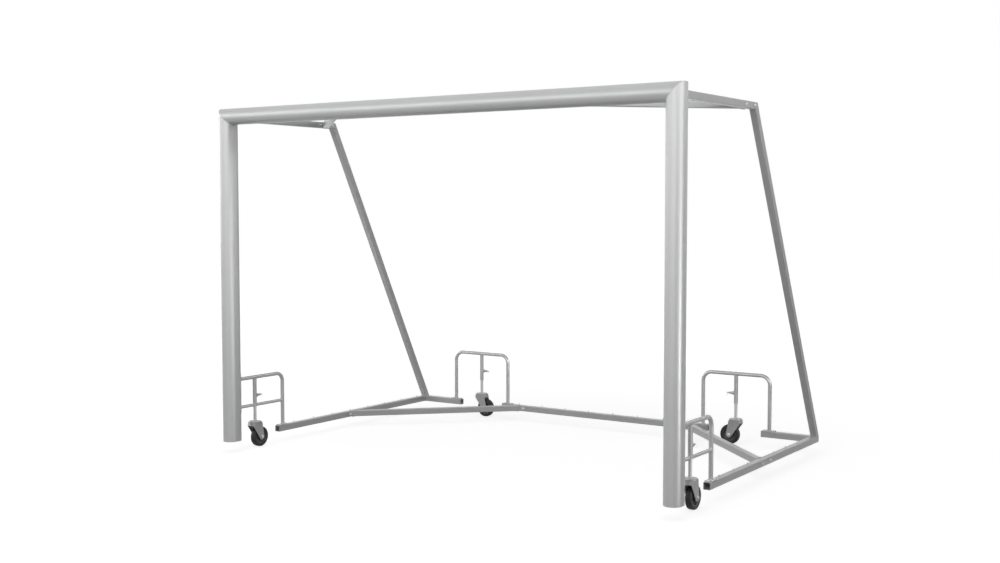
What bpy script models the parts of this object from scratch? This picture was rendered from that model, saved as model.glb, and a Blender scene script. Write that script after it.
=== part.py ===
# Soccer goal on retractable castors: oval aluminium posts and crossbar, square-tube back and ground
# frame, and four swivel castors on index stems that lower to move the goal and lift to set it down.
# Metres, +Z up, +Y to the back of the goal. The origin is on the floor, at the middle of the outline.

import math

import bmesh
import bpy
from mathutils import Matrix, Vector
from mathutils.geometry import tessellate_polygon

# Goal mouth, clear between the posts and under the crossbar
GOAL_WIDTH = 3.000
GOAL_HEIGHT = 2.000

# Oval extrusion of the posts and the crossbar, with a net channel in its back
POST_WIDTH = 0.100
POST_DEPTH = 0.120
POST_WALL = 0.003
CHANNEL_MOUTH = 0.009
CHANNEL_WIDTH = 0.018
CHANNEL_DEPTH = 0.008
CHANNEL_LIP = 0.003
CHANNEL_WALL = 0.0025
OVAL_STEPS = 10

# Corner connectors and foot plugs inside the posts
INSERT_LEG = 0.120
INSERT_WALL = 0.004
FOOT_PLUG_HEIGHT = 0.025
FOOT_PLUG_FLOOR = 0.004
FOOT_PLUG_WALL = 0.0025

# Square tube of the back and ground frame
TUBE = 0.040
TUBE_WALL = 0.0025
TUBE_CORNER = 0.003

# Layout in plan and in height, from the post centres and from the post bottoms
SIDE_INSET = 0.005
UPPER_DROP = 0.006
UPPER_REACH = 0.969
GROUND_REACH = 2.027
REAR_AXIS = 2.012
SIDE_TUBE_FRONT = 0.400
REAR_STUB = 0.350
REAR_GAP = 0.373

# Corner braces at 45 degrees and their bolted end plates
UPPER_BRACE_BACK = 0.8805
GROUND_BRACE_FRONT = 1.158
GROUND_PLATE_SHIFT = 0.012
BRACE_PLATE_LENGTH = 0.160
BRACE_PLATE_HEIGHT = 0.036
BRACE_PLATE = 0.004
BRACE_BOLT_SPAN = 0.122
BRACE_BOLT_HOLE = 0.009
BRACE_VENT = 0.016

# Net hooks on the ground tubes
SIDE_HOOK_FRONT = 0.155
SIDE_HOOK_REAR = 0.106
REAR_HOOK_MARGIN = 0.143
HOOK_WIRE = 0.003
HOOK_EYE = 0.0080
HOOK_NECK = 0.0035
HOOKS_PER_TUBE = 8

# Round-tube wheel brackets and hoops
ROUND_TUBE = 0.025
LOW_RAIL = 0.021
BRACKET_TOP = 0.387
BRACKET_LEG = 0.4505
BRACKET_BEND = 0.053
SLEEVE_FROM_POST = 0.196
HOOP_TOP = 0.396
HOOP_FROM_SIDE = 0.532
HOOP_SPAN = 0.466
HOOP_BEND = 0.060
FOOT_PLATE_LENGTH = 0.082
FOOT_PLATE_WIDTH = 0.040
PLATE = 0.005
PLATE_SCREW_SPAN = 0.060
PLATE_SCREW_HOLE = 0.007
STRIP_WIDTH = 0.036
STRIP_MARGIN = 0.040
ROUND_SIDES = 12
BEND_STEPS = 4

# Guide sleeve, stem and index pin
SLEEVE = 0.026
SLEEVE_BORE = 0.0208
STEM = 0.020
RETRACT_CLEARANCE = 0.010
SLEEVE_ABOVE_HEAD = 0.020
RAIL_ABOVE_SLEEVE_END = 0.006
STEM_TOP_CLEARANCE = 0.0065
STEM_ABOVE_PIN = 0.020
INDEX_SLOT_DEPTH = 0.0026
INDEX_HOLE_DEPTH = 0.008
INDEX_NOSE = 0.006
INDEX_PLAY = 0.0006
SLEEVE_COPE = 0.007

# Castor
WHEEL_RADIUS = 0.065
WHEEL_WIDTH = 0.036
WHEEL_DROP = 0.070
TRAIL = 0.038
HEAD_STACK = 0.040
HEAD_DISC_RADIUS = 0.042
HEAD_DISC = 0.005
CROWN_RADIUS = 0.047
CROWN_DEPTH = 0.024
CROWN_HOLLOW = 0.038
FORK_SHEET = 0.003
FORK_TOP_SPREAD = 0.004
FORK_FRONT = 0.040
FORK_REAR = 0.042
FORK_SHOULDER = 0.008
SHOULDER_CUT = 0.003
FORK_FOOT_RADIUS = 0.020
HUB_RADIUS = 0.0125
HUB_MARGIN = 0.003
HUB_FILLET = 0.002
FORK_MARGIN = 0.0045
RIM_RADIUS = 0.0458
RIM_LIP = 0.0045
RIM_SLOPE = 0.0025
RIM_SETBACK = 0.0025
WEB = 0.012
TYRE_BEAD = 0.003
TYRE_WALL = 0.006
TREAD_EDGE = 0.005
TREAD_SHOULDER = 0.009
AXLE = 0.010
AXLE_HEAD = 0.017
AXLE_HEAD_HEIGHT = 0.006
AXLE_TAIL = 0.002
KINGPIN = 0.0164
KINGPIN_HEAD = 0.006
WHEEL_STEPS = 24
CROWN_STEPS = 16
ROUND_STEPS = 12

# Index plunger, measured outwards from the sleeve's axis
HOUSING_ROOT = 0.024
HOUSING_TIP = 0.0124
HOUSING_SHOULDER = 0.021
HOUSING_END = 0.050
HOUSING_LIP = 0.003
PIN = 0.008
PIN_SHOULDER = 0.004
PIN_KNOB = 0.0104
PLUNGER_REACH = 0.066
TANG = 0.004
TANG_LENGTH = 0.009
TANG_ROOT = 0.002
RING_OUTER = 0.020
RING_WIRE = 0.0018
RING_HOLE = 0.0029
PLUNGER_STEPS = 10

# Side of the fork's crown under the head disc: ball races as (inset from the rim, depth from the top)
CROWN_SIDE = (
    (0.005, 0.000),
    (0.003, 0.003),
    (0.005, 0.006),
    (0.001, 0.009),
    (0.003, 0.014),
    (0.000, 0.016),
)

# Gaps between neighbours, and the broken edges of turned pieces
GAP = 0.0003
RUNNING = 0.0005
EDGE = 0.0015

# Sizes that follow
POST_X = GOAL_WIDTH / 2 + POST_WIDTH / 2
BAR_Z = GOAL_HEIGHT + POST_WIDTH / 2
POST_REAR = POST_DEPTH / 2
SIDE_X = POST_X - SIDE_INSET
SIDE_INNER = SIDE_X - TUBE / 2
STUB_END = SIDE_X - REAR_STUB
CENTRE_BAR_END = STUB_END - REAR_GAP
HOOP_CENTRE = SIDE_X - HOOP_FROM_SIDE
UPPER_Z = BAR_Z - UPPER_DROP
GROUND_Z = TUBE / 2
LEAN = Vector((0, GROUND_REACH - UPPER_REACH, GROUND_Z - UPPER_Z)).normalized()
STROKE = WHEEL_DROP + RETRACT_CLEARANCE
AXLE_Z = WHEEL_RADIUS - WHEEL_DROP
HEAD_TOP = AXLE_Z + WHEEL_RADIUS + HEAD_STACK
SLEEVE_END = HEAD_TOP + STROKE + SLEEVE_ABOVE_HEAD
BRACKET_LOW = SLEEVE_END + RAIL_ABOVE_SLEEVE_END
STEM_TOP = BRACKET_TOP - ROUND_TUBE / 2 - STROKE - STEM_TOP_CLEARANCE
PLUNGER_Z = STEM_TOP - STEM_ABOVE_PIN
CROWN_TOP = HEAD_TOP - HEAD_DISC - RUNNING
POST_Y = -(REAR_AXIS + CROWN_RADIUS - POST_REAR) / 2
SIDES = (("left", -1), ("right", 1))


def material(name, colour, metallic, roughness):
    made = bpy.data.materials.new(name)
    made.use_nodes = True
    shader = made.node_tree.nodes["Principled BSDF"]
    shader.inputs["Base Color"].default_value = (*colour, 1)
    shader.inputs["Metallic"].default_value = metallic
    shader.inputs["Roughness"].default_value = roughness
    return made


# Outlines: lists of (x, y) points, anticlockwise

def arc(x, y, radius, start, end, steps):
    turns = [math.radians(start + (end - start) * i / steps) for i in range(steps + 1)]
    return [(x + radius * math.cos(t), y + radius * math.sin(t)) for t in turns]


def circle(x, y, diameter, steps):
    return arc(x, y, diameter / 2, 0, 360, steps)[:-1]


def rectangle(width, height, x=0.0, y=0.0):
    return [
        (x - width / 2, y - height / 2),
        (x + width / 2, y - height / 2),
        (x + width / 2, y + height / 2),
        (x - width / 2, y + height / 2),
    ]


def rounded_square(size, radius):
    inner = size / 2 - radius
    corners = ((-1, -1, 180), (1, -1, 270), (1, 1, 0), (-1, 1, 90))
    points = []
    for x, y, turn in corners:
        points += arc(x * inner, y * inner, radius, turn, turn + 90, 2)
    return points


def distinct(points):
    """The outline without any point that falls on the one before it."""
    return [point for before, point in zip(points[-1:] + points, points) if math.dist(before, point) > 1e-6]


def oval(inset, opening):
    """The oval at an inset, open at the back by half the given width: +y is the back."""
    radius = POST_WIDTH / 2 - inset
    flank = (POST_DEPTH - POST_WIDTH) / 2
    lead = math.degrees(math.asin(opening / radius))
    half = OVAL_STEPS // 2
    points = arc(0, flank, radius, 90 + lead, 180, half)
    points += arc(0, -flank, radius, 180, 360, OVAL_STEPS)
    points += arc(0, flank, radius, 0, 90 - lead, half)
    return distinct(points)


def extrusion_outline():
    mouth = CHANNEL_MOUTH / 2
    side = CHANNEL_WIDTH / 2
    lip = POST_REAR - CHANNEL_LIP
    floor = lip - CHANNEL_DEPTH
    channel = [(mouth, lip), (side, lip), (side, floor), (-side, floor), (-side, lip), (-mouth, lip)]
    return oval(0, mouth) + channel


def cavity_outline(clearance):
    """The hollow of the extrusion, drawn in by a clearance, round the channel's own walls."""
    side = CHANNEL_WIDTH / 2 + CHANNEL_WALL + clearance
    floor = POST_REAR - CHANNEL_LIP - CHANNEL_DEPTH - CHANNEL_WALL - clearance
    return oval(POST_WALL + clearance, side) + [(side, floor), (-side, floor)]


def square_tube():
    return [rounded_square(TUBE, TUBE_CORNER), rectangle(TUBE - 2 * TUBE_WALL, TUBE - 2 * TUBE_WALL)]


# Solids

def new_object(name, shape, finish, location=(0, 0, 0), parent=None):
    """An object from a bmesh, with its faces pointing out."""
    bmesh.ops.recalc_face_normals(shape, faces=shape.faces)
    mesh = bpy.data.meshes.new(name)
    shape.to_mesh(mesh)
    shape.free()
    mesh.materials.append(finish)
    return place(name, mesh, location, 0, parent)


def place(name, mesh, location=(0, 0, 0), heading=0, parent=None):
    made = bpy.data.objects.new(name, mesh)
    bpy.context.scene.collection.objects.link(made)
    made.location = location
    made.rotation_euler = (0, 0, math.radians(heading))
    made.parent = parent
    return made


def smooth(mesh):
    mesh.shade_smooth()
    mesh.set_sharp_from_angle(angle=math.radians(30))


def member(loops, base, across, up, start, end):
    """A straight section between two end planes. The first loop is the outline, the rest are holes.
    Its length runs along across x up, and a plane is a point and a normal."""
    base, across, up = Vector(base), Vector(across), Vector(up)
    along = across.cross(up)
    shape = bmesh.new()

    def ring(plane):
        point, normal = Vector(plane[0]), Vector(plane[1])
        rows = []
        for loop in loops:
            row = []
            for x, y in loop:
                foot = base + across * x + up * y
                row.append(shape.verts.new(foot + along * ((point - foot).dot(normal) / along.dot(normal))))
            rows.append(row)
        return rows

    first, last = ring(start), ring(end)
    for a, b in zip(first, last):
        for i in range(len(a)):
            j = (i + 1) % len(a)
            shape.faces.new((a[i], a[j], b[j], b[i]))
    flat = tessellate_polygon([[Vector((x, y, 0)) for x, y in loop] for loop in loops])
    for rows in (first, last):
        corners = [vertex for row in rows for vertex in row]
        for triangle in flat:
            shape.faces.new([corners[i] for i in triangle])
    return shape


def plate(loops, centre, across, up, thickness):
    """A flat plate with holes, its near face on the centre and its thickness along across x up."""
    normal = Vector(across).cross(Vector(up))
    far = Vector(centre) + normal * thickness
    return member(loops, centre, across, up, (centre, normal), (far, normal))


def lathe(profile, steps, turn=0.0):
    """A solid turned round Z from (radius, height) points. Points on the axis close it, or it is a ring."""
    shape = bmesh.new()
    rows = []
    for radius, height in profile:
        if radius == 0:
            rows.append([shape.verts.new((0, 0, height))] * steps)
            continue
        row = []
        for i in range(steps):
            angle = 2 * math.pi * (i + turn) / steps
            row.append(shape.verts.new((radius * math.cos(angle), radius * math.sin(angle), height)))
        rows.append(row)
    if profile[0][0] != 0:
        rows.append(rows[0])
    for a, b in zip(rows, rows[1:]):
        for i in range(steps):
            j = (i + 1) % steps
            corners = list(dict.fromkeys((a[i], a[j], b[j], b[i])))
            if len(corners) > 2:
                shape.faces.new(corners)
    return shape


def turned(shape, angle, axis):
    shape.transform(Matrix.Rotation(math.radians(angle), 4, axis))
    return shape


def bent(points, radius):
    """A path with its inner corners rounded."""
    points = [Vector(p) for p in points]
    path = [points[0]]
    for before, corner, after in zip(points, points[1:], points[2:]):
        into, out = (corner - before).normalized(), (after - corner).normalized()
        centre = corner + (out - into) * radius
        for i in range(BEND_STEPS + 1):
            turn = math.pi / 2 * i / BEND_STEPS
            path.append(centre - out * radius * math.cos(turn) + into * radius * math.sin(turn))
    path.append(points[-1])
    return path


def tube_shape(paths, diameter, sides):
    """Round bars along paths: a bevelled curve with filled ends, as a bmesh."""
    curve = bpy.data.curves.new("path", "CURVE")
    curve.dimensions = "3D"
    curve.bevel_depth = diameter / 2
    curve.bevel_resolution = sides // 2 - 2
    curve.use_fill_caps = True
    for path in paths:
        spline = curve.splines.new("POLY")
        spline.points.add(len(path) - 1)
        for point, at in zip(spline.points, path):
            point.co = (*at, 1)
    drawn = place("path", curve)
    graph = bpy.context.evaluated_depsgraph_get()
    mesh = bpy.data.meshes.new_from_object(drawn.evaluated_get(graph))
    bpy.data.objects.remove(drawn)
    shape = bmesh.new()
    shape.from_mesh(mesh)
    bmesh.ops.remove_doubles(shape, verts=shape.verts, dist=1e-5)
    bpy.data.meshes.remove(mesh)
    return shape


def pipe(name, path, diameter, sides, finish, parent=None):
    return new_object(name, tube_shape([path], diameter, sides), finish, parent=parent)


def combine(target, operation, *tools):
    """Unites the target with other objects, or cuts it by them, and keeps the result as its mesh."""
    for tool in tools:
        modifier = target.modifiers.new(operation, "BOOLEAN")
        modifier.operation = operation
        modifier.solver = "EXACT"
        modifier.object = tool
        graph = bpy.context.evaluated_depsgraph_get()
        mesh = bpy.data.meshes.new_from_object(target.evaluated_get(graph))
        target.modifiers.clear()
        target.data = mesh
        bpy.data.objects.remove(tool)
    return target


# Goal front

def posts(finish, plug_finish, insert_finish, goal):
    for name, side in SIDES:
        corner = (side * POST_X, 0, BAR_Z)
        section = [extrusion_outline(), cavity_outline(0)]
        post = member(section, (side * POST_X, 0, 0), (1, 0, 0), (0, 1, 0),
                      ((0, 0, 0), (0, 0, 1)), (corner, (-side, 0, 1)))
        new_object("post_" + name, post, finish, parent=goal)
        foot_plug("foot_plug_" + name, side, plug_finish, goal)
        corner_insert("corner_insert_" + name, side, insert_finish, goal)


def crossbar(finish, goal):
    """The bar between the 45 degree mitres, with the joint gap taken off its ends."""
    end = POST_X - GAP * math.sqrt(2)
    section = [extrusion_outline(), cavity_outline(0)]
    bar = member(section, (0, 0, BAR_Z), (0, 0, 1), (0, 1, 0),
                 ((end, 0, BAR_Z), (1, 0, -1)), ((-end, 0, BAR_Z), (1, 0, 1)))
    new_object("crossbar", bar, finish, parent=goal)


def foot_plug(name, side, finish, goal):
    """A cup that fills the foot of the post, flush with its end."""
    outline = cavity_outline(GAP)
    base = (side * POST_X, 0, 0)
    plug = new_object(name, plate([outline], base, (1, 0, 0), (0, 1, 0), FOOT_PLUG_HEIGHT), finish, parent=goal)
    floor = (side * POST_X, 0, FOOT_PLUG_FLOOR)
    hollow = plate([cavity_outline(GAP + FOOT_PLUG_WALL)], floor, (1, 0, 0), (0, 1, 0), FOOT_PLUG_HEIGHT)
    combine(plug, "DIFFERENCE", new_object("plug_hollow", hollow, finish, parent=goal))


def corner_insert(name, side, finish, goal):
    """A hollow elbow: the cavity's outline swept down the post and along the crossbar, mitred."""
    loops = [cavity_outline(GAP), cavity_outline(GAP + INSERT_WALL)]
    shape = bmesh.new()
    rings = []
    for station in ("post", "mitre", "bar"):
        ring = []
        for loop in loops:
            row = []
            for x, y in loop:
                out = POST_X if station == "bar" else POST_X + x
                height = BAR_Z if station == "post" else BAR_Z + x
                out -= INSERT_LEG if station == "bar" else 0
                height -= INSERT_LEG if station == "post" else 0
                row.append(shape.verts.new((side * out, y, height)))
            ring.append(row)
        rings.append(ring)
    for first, last in zip(rings, rings[1:]):
        for a, b in zip(first, last):
            for i in range(len(a)):
                j = (i + 1) % len(a)
                shape.faces.new((a[i], a[j], b[j], b[i]))
    flat = tessellate_polygon([[Vector((x, y, 0)) for x, y in loop] for loop in loops])
    for ring in (rings[0], rings[-1]):
        corners = [vertex for row in ring for vertex in row]
        for triangle in flat:
            shape.faces.new([corners[i] for i in triangle])
    new_object(name, shape, finish, parent=goal)


def oval_cutter(name, base, across, length, finish, goal):
    """A full oval bar a gap larger than the extrusion, to cope what is welded to it."""
    base = Vector(base)
    along = Vector(across).cross(Vector((0, 1, 0)))
    shape = member([oval(-GAP, CHANNEL_MOUTH / 2)], base, across, (0, 1, 0), (base, along),
                   (base + along * length, along))
    return new_object(name, shape, finish, parent=goal)


# Back and ground frame

def stanchion_face(side):
    """A point on the stanchion's rear face, and the face's normal."""
    back = Vector((0, -LEAN.z, LEAN.y))
    return Vector((side * SIDE_X, UPPER_REACH, UPPER_Z)) + back * TUBE / 2, back


def upper_side_tubes(finish, goal):
    for name, side in SIDES:
        base = (side * SIDE_X, 0, UPPER_Z)
        tube = member(square_tube(), base, (0, 0, 1), (1, 0, 0), (base, (0, 1, 0)), stanchion_face(side))
        made = new_object("upper_side_tube_" + name, tube, finish, parent=goal)
        post = oval_cutter("post_cutter", (side * POST_X, 0, GOAL_HEIGHT - TUBE), (1, 0, 0),
                           POST_WIDTH + TUBE, finish, goal)
        bar = oval_cutter("bar_cutter", (side * POST_X + POST_WIDTH, 0, BAR_Z), (0, 0, 1),
                          2 * POST_WIDTH, finish, goal)
        combine(post, "UNION", bar)
        combine(made, "DIFFERENCE", post)


def stanchions(finish, goal):
    """The leaning tubes, cut level under the upper tube and on the ground tube."""
    for name, side in SIDES:
        top = (0, 0, UPPER_Z - TUBE / 2 - GAP)
        foot = (0, 0, TUBE + GAP)
        tube = member(square_tube(), (side * SIDE_X, UPPER_REACH, UPPER_Z), (1, 0, 0), (0, -LEAN.z, LEAN.y),
                      (top, (0, 0, 1)), (foot, (0, 0, 1)))
        new_object("stanchion_" + name, tube, finish, parent=goal)


def stanchion_foot():
    """Where the stanchion's rear face meets the top of the ground tube."""
    point, normal = stanchion_face(1)
    return point.y + (point.z - TUBE) * normal.z / normal.y


def ground_side_tubes(finish, goal):
    for name, side in SIDES:
        base = (side * SIDE_X, 0, GROUND_Z)
        tube = member(square_tube(), base, (0, 0, 1), (1, 0, 0),
                      ((0, SIDE_TUBE_FRONT, 0), (0, 1, 0)), ((0, stanchion_foot(), 0), (0, 1, 0)))
        made = new_object("ground_side_tube_" + name, tube, finish, parent=goal)
        combine(made, "UNION", side_hooks(side, finish, goal))


def rear_tubes(finish, goal):
    for name, side in SIDES:
        base = (0, REAR_AXIS, GROUND_Z)
        stub = member(square_tube(), base, (0, 1, 0), (0, 0, 1),
                      ((side * STUB_END, 0, 0), (1, 0, 0)), ((side * (SIDE_INNER - GAP), 0, 0), (1, 0, 0)))
        new_object("rear_stub_" + name, stub, finish, parent=goal)
    bar = member(square_tube(), (0, REAR_AXIS, GROUND_Z), (0, 1, 0), (0, 0, 1),
                 ((-CENTRE_BAR_END, 0, 0), (1, 0, 0)), ((CENTRE_BAR_END, 0, 0), (1, 0, 0)))
    made = new_object("rear_centre_bar", bar, finish, parent=goal)
    combine(made, "UNION", rear_hooks(finish, goal))


def net_hooks(places, heading, finish, goal):
    """Open pigtails of wire on short necks, standing on a tube."""
    ring = HOOK_EYE / 2
    centre = HOOK_NECK + ring
    hook = [(0, 0, -HOOK_WIRE / 2), (0, 0, HOOK_NECK)]
    hook += [(x, 0, z) for x, z in arc(0, centre, ring, -30, 180, 3)]
    spin = Matrix.Rotation(math.radians(heading), 3, "Z")
    paths = [[spin @ Vector(point) + Vector(at) for point in hook] for at in places]
    return new_object("net_hooks", tube_shape(paths, HOOK_WIRE, 4), finish, parent=goal)


def hook_row(first, last):
    pitch = (last - first) / (HOOKS_PER_TUBE - 1)
    return [first + pitch * i for i in range(HOOKS_PER_TUBE)]


def side_hooks(side, finish, goal):
    row = hook_row(SIDE_TUBE_FRONT + SIDE_HOOK_FRONT, REAR_AXIS - SIDE_HOOK_REAR)
    return net_hooks([(side * SIDE_X, y, TUBE) for y in row], 0, finish, goal)


def rear_hooks(finish, goal):
    end = CENTRE_BAR_END - REAR_HOOK_MARGIN
    return net_hooks([(x, REAR_AXIS, TUBE) for x in hook_row(-end, end)], 90, finish, goal)


def brace_plate(name, face, along, normal, shift, height, finish, goal):
    """An end plate on a tube's face: two bolt holes, and a vent into the brace."""
    bolt = BRACE_BOLT_SPAN / 2
    loops = [
        rectangle(BRACE_PLATE_LENGTH, BRACE_PLATE_HEIGHT, shift),
        circle(shift - bolt, 0, BRACE_BOLT_HOLE, 8),
        circle(shift + bolt, 0, BRACE_BOLT_HOLE, 8),
        circle(0, 0, BRACE_VENT, 8),
    ]
    up = Vector(normal).cross(Vector(along))
    centre = Vector((face[0], face[1], height)) + Vector(normal) * GAP
    return new_object(name, plate(loops, centre, along, up, BRACE_PLATE), finish, parent=goal)


def brace(name, side, start, end, plates, finish, goal):
    """A 45 degree tube between two vertical faces, with a plate welded over each end."""
    start, end = Vector(start), Vector(end)
    along = (end - start).normalized()
    across = Vector((0, 0, 1))
    up = along.cross(across)
    section = square_tube()
    weld = GAP + BRACE_PLATE / 2
    tube = member(section, start, across, up,
                  (start + Vector((-side * weld, 0, 0)), (1, 0, 0)),
                  (end + Vector((0, weld if end.y < start.y else -weld, 0)), (0, 1, 0)))
    made = new_object(name, tube, finish, parent=goal)
    combine(made, "UNION", *plates)


def upper_braces(finish, goal):
    for name, side in SIDES:
        start = (side * SIDE_INNER, UPPER_BRACE_BACK, UPPER_Z)
        reach = UPPER_BRACE_BACK - POST_REAR
        end = (side * (SIDE_INNER - reach), POST_REAR, UPPER_Z)
        plates = (
            brace_plate("side_plate", start, (0, 1, 0), (-side, 0, 0), 0, UPPER_Z, finish, goal),
            brace_plate("bar_plate", end, (1, 0, 0), (0, 1, 0), 0, BAR_Z, finish, goal),
        )
        brace("upper_brace_" + name, side, start, end, plates, finish, goal)


def ground_braces(finish, goal):
    for name, side in SIDES:
        start = (side * SIDE_INNER, GROUND_BRACE_FRONT, GROUND_Z)
        face = REAR_AXIS - TUBE / 2
        end = (side * (SIDE_INNER - (face - GROUND_BRACE_FRONT)), face, GROUND_Z)
        plates = (
            brace_plate("side_plate", start, (0, 1, 0), (-side, 0, 0), GROUND_PLATE_SHIFT, GROUND_Z,
                        finish, goal),
            brace_plate("bar_plate", end, (1, 0, 0), (0, -1, 0), 0, GROUND_Z, finish, goal),
        )
        brace("ground_brace_" + name, side, start, end, plates, finish, goal)


# Wheel brackets and hoops

def foot_plate(x, y, along, finish, goal):
    """A plate on the top of a ground tube, with a screw hole on either side of the leg."""
    screw = PLATE_SCREW_SPAN / 2
    loops = [
        rectangle(FOOT_PLATE_LENGTH, FOOT_PLATE_WIDTH),
        circle(-screw, 0, PLATE_SCREW_HOLE, 8),
        circle(screw, 0, PLATE_SCREW_HOLE, 8),
    ]
    up = Vector((0, 0, 1)).cross(Vector(along))
    return new_object("foot_plate", plate(loops, (x, y, TUBE + GAP), along, up, PLATE), finish, parent=goal)


def front_brackets(finish, goal):
    for name, side in SIDES:
        x = side * SIDE_X
        weld = POST_REAR + GAP + PLATE / 2
        foot = TUBE + GAP + PLATE / 2
        path = bent([(x, weld, BRACKET_TOP), (x, BRACKET_LEG, BRACKET_TOP), (x, BRACKET_LEG, foot)], BRACKET_BEND)
        made = pipe("front_bracket_" + name, path, ROUND_TUBE, ROUND_SIDES, finish, goal)
        rail = pipe("low_rail", [(x, weld, BRACKET_LOW), (x, BRACKET_LEG, BRACKET_LOW)], LOW_RAIL,
                    ROUND_SIDES - 2, finish, goal)
        combine(rail, "DIFFERENCE", new_object("sleeve_cutter", sleeve_cutter(), finish,
                                               (x, SLEEVE_FROM_POST, BRACKET_LOW), goal))
        combine(made, "UNION", rail, foot_plate(x, BRACKET_LEG, (0, 1, 0), finish, goal),
                post_strip(side, finish, goal))


def post_strip(side, finish, goal):
    """The strip that both rails are welded to, screwed into the net channel of the post."""
    low = BRACKET_LOW - STRIP_MARGIN
    high = BRACKET_TOP + STRIP_MARGIN
    screw = (high - low - STRIP_MARGIN) / 2
    loops = [rectangle(high - low, STRIP_WIDTH)]
    for height in (-screw, 0, screw):
        loops.append(circle(height, 0, PLATE_SCREW_HOLE, 8))
    centre = (side * POST_X, POST_REAR + GAP, (low + high) / 2)
    return new_object("post_strip", plate(loops, centre, (0, 0, 1), (1, 0, 0), PLATE), finish, parent=goal)


def rear_hoops(finish, goal):
    for name, side in SIDES:
        centre = side * HOOP_CENTRE
        left, right = centre - HOOP_SPAN / 2, centre + HOOP_SPAN / 2
        foot = TUBE + GAP + PLATE / 2
        path = bent([(left, REAR_AXIS, foot), (left, REAR_AXIS, HOOP_TOP), (right, REAR_AXIS, HOOP_TOP),
                     (right, REAR_AXIS, foot)], HOOP_BEND)
        made = pipe("rear_hoop_" + name, path, ROUND_TUBE, ROUND_SIDES, finish, goal)
        combine(made, "UNION", foot_plate(left, REAR_AXIS, (1, 0, 0), finish, goal),
                foot_plate(right, REAR_AXIS, (1, 0, 0), finish, goal))


# Castors: every piece is drawn with its stem's axis on Z and its trail towards +X

def rod(start, end, diameter, steps):
    start, end = Vector(start), Vector(end)
    along = (end - start).normalized()
    across = along.orthogonal().normalized()
    up = along.cross(across)
    return member([circle(0, 0, diameter, steps)], start, across, up, (start, along), (end, along))


def clear_of(diameter, steps):
    """The diameter of a faceted cutter whose flats lie a gap outside a round bar."""
    return (diameter + 2 * GAP) / math.cos(math.pi / steps)


def sleeve_cutter():
    return rod((0, 0, -SLEEVE), (0, 0, SLEEVE), clear_of(SLEEVE, ROUND_STEPS), ROUND_STEPS)


def guide_sleeve(rail_top, finish):
    """The tube welded under the rail: its top coped to the rail, and a hole for the index pin."""
    top = rail_top - SLEEVE_COPE
    bore = SLEEVE_BORE / 2
    outer = SLEEVE / 2
    shape = lathe([(bore, SLEEVE_END), (outer, SLEEVE_END), (outer, top), (bore, top)], ROUND_STEPS)
    made = new_object("sleeve", shape, finish)
    rail = rod((-SLEEVE, 0, rail_top), (SLEEVE, 0, rail_top), clear_of(ROUND_TUBE, ROUND_SIDES), ROUND_SIDES)
    hole = rod((bore / 2, 0, PLUNGER_Z), (SLEEVE, 0, PLUNGER_Z), INDEX_NOSE + 2 * INDEX_PLAY, 12)
    return combine(made, "DIFFERENCE", new_object("rail", rail, finish), new_object("hole", hole, finish))


def stem(finish):
    """The sliding stem with its head disc and the kingpin that holds the fork, slotted for the pin."""
    kingpin = KINGPIN / 2
    crown_under = CROWN_TOP - FORK_SHEET - RUNNING
    head = 2 * kingpin
    head_low = crown_under - KINGPIN_HEAD
    disc_low = HEAD_TOP - HEAD_DISC
    profile = [
        (0, head_low), (head - EDGE, head_low), (head, crown_under),
        (kingpin, crown_under), (kingpin, disc_low), (HEAD_DISC_RADIUS, disc_low),
        (HEAD_DISC_RADIUS, HEAD_TOP - EDGE), (HEAD_DISC_RADIUS - EDGE, HEAD_TOP), (STEM / 2, HEAD_TOP),
        (STEM / 2, STEM_TOP - EDGE), (STEM / 2 - EDGE, STEM_TOP), (0, STEM_TOP),
    ]
    made = new_object("stem", lathe(profile, ROUND_STEPS), finish)
    floor = STEM / 2 - INDEX_SLOT_DEPTH
    half = INDEX_NOSE / 2 + INDEX_PLAY
    outline = arc(0, PLUNGER_Z, half, 0, 180, 6) + arc(0, PLUNGER_Z - STROKE, half, 180, 360, 6)
    slot = member([outline], (floor, 0, 0), (0, 1, 0), (0, 0, 1),
                  ((floor, 0, 0), (1, 0, 0)), ((STEM, 0, 0), (1, 0, 0)))
    cutters = [new_object("slot", slot, finish)]
    for height in (PLUNGER_Z, PLUNGER_Z - STROKE):
        hole = rod((STEM / 2 - INDEX_HOLE_DEPTH, 0, height), (STEM, 0, height), INDEX_NOSE + INDEX_PLAY, 10)
        cutters.append(new_object("hole", hole, finish))
    return combine(made, "DIFFERENCE", *cutters)


def tangent(x, y, radius, px, py, side):
    """The turn at which a line from (px, py) touches a circle, left (1) or right (-1) of it from the centre."""
    reach = math.hypot(px - x, py - y)
    turn = math.atan2(py - y, px - x) + side * math.acos(radius / reach)
    return math.degrees(turn)


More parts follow.
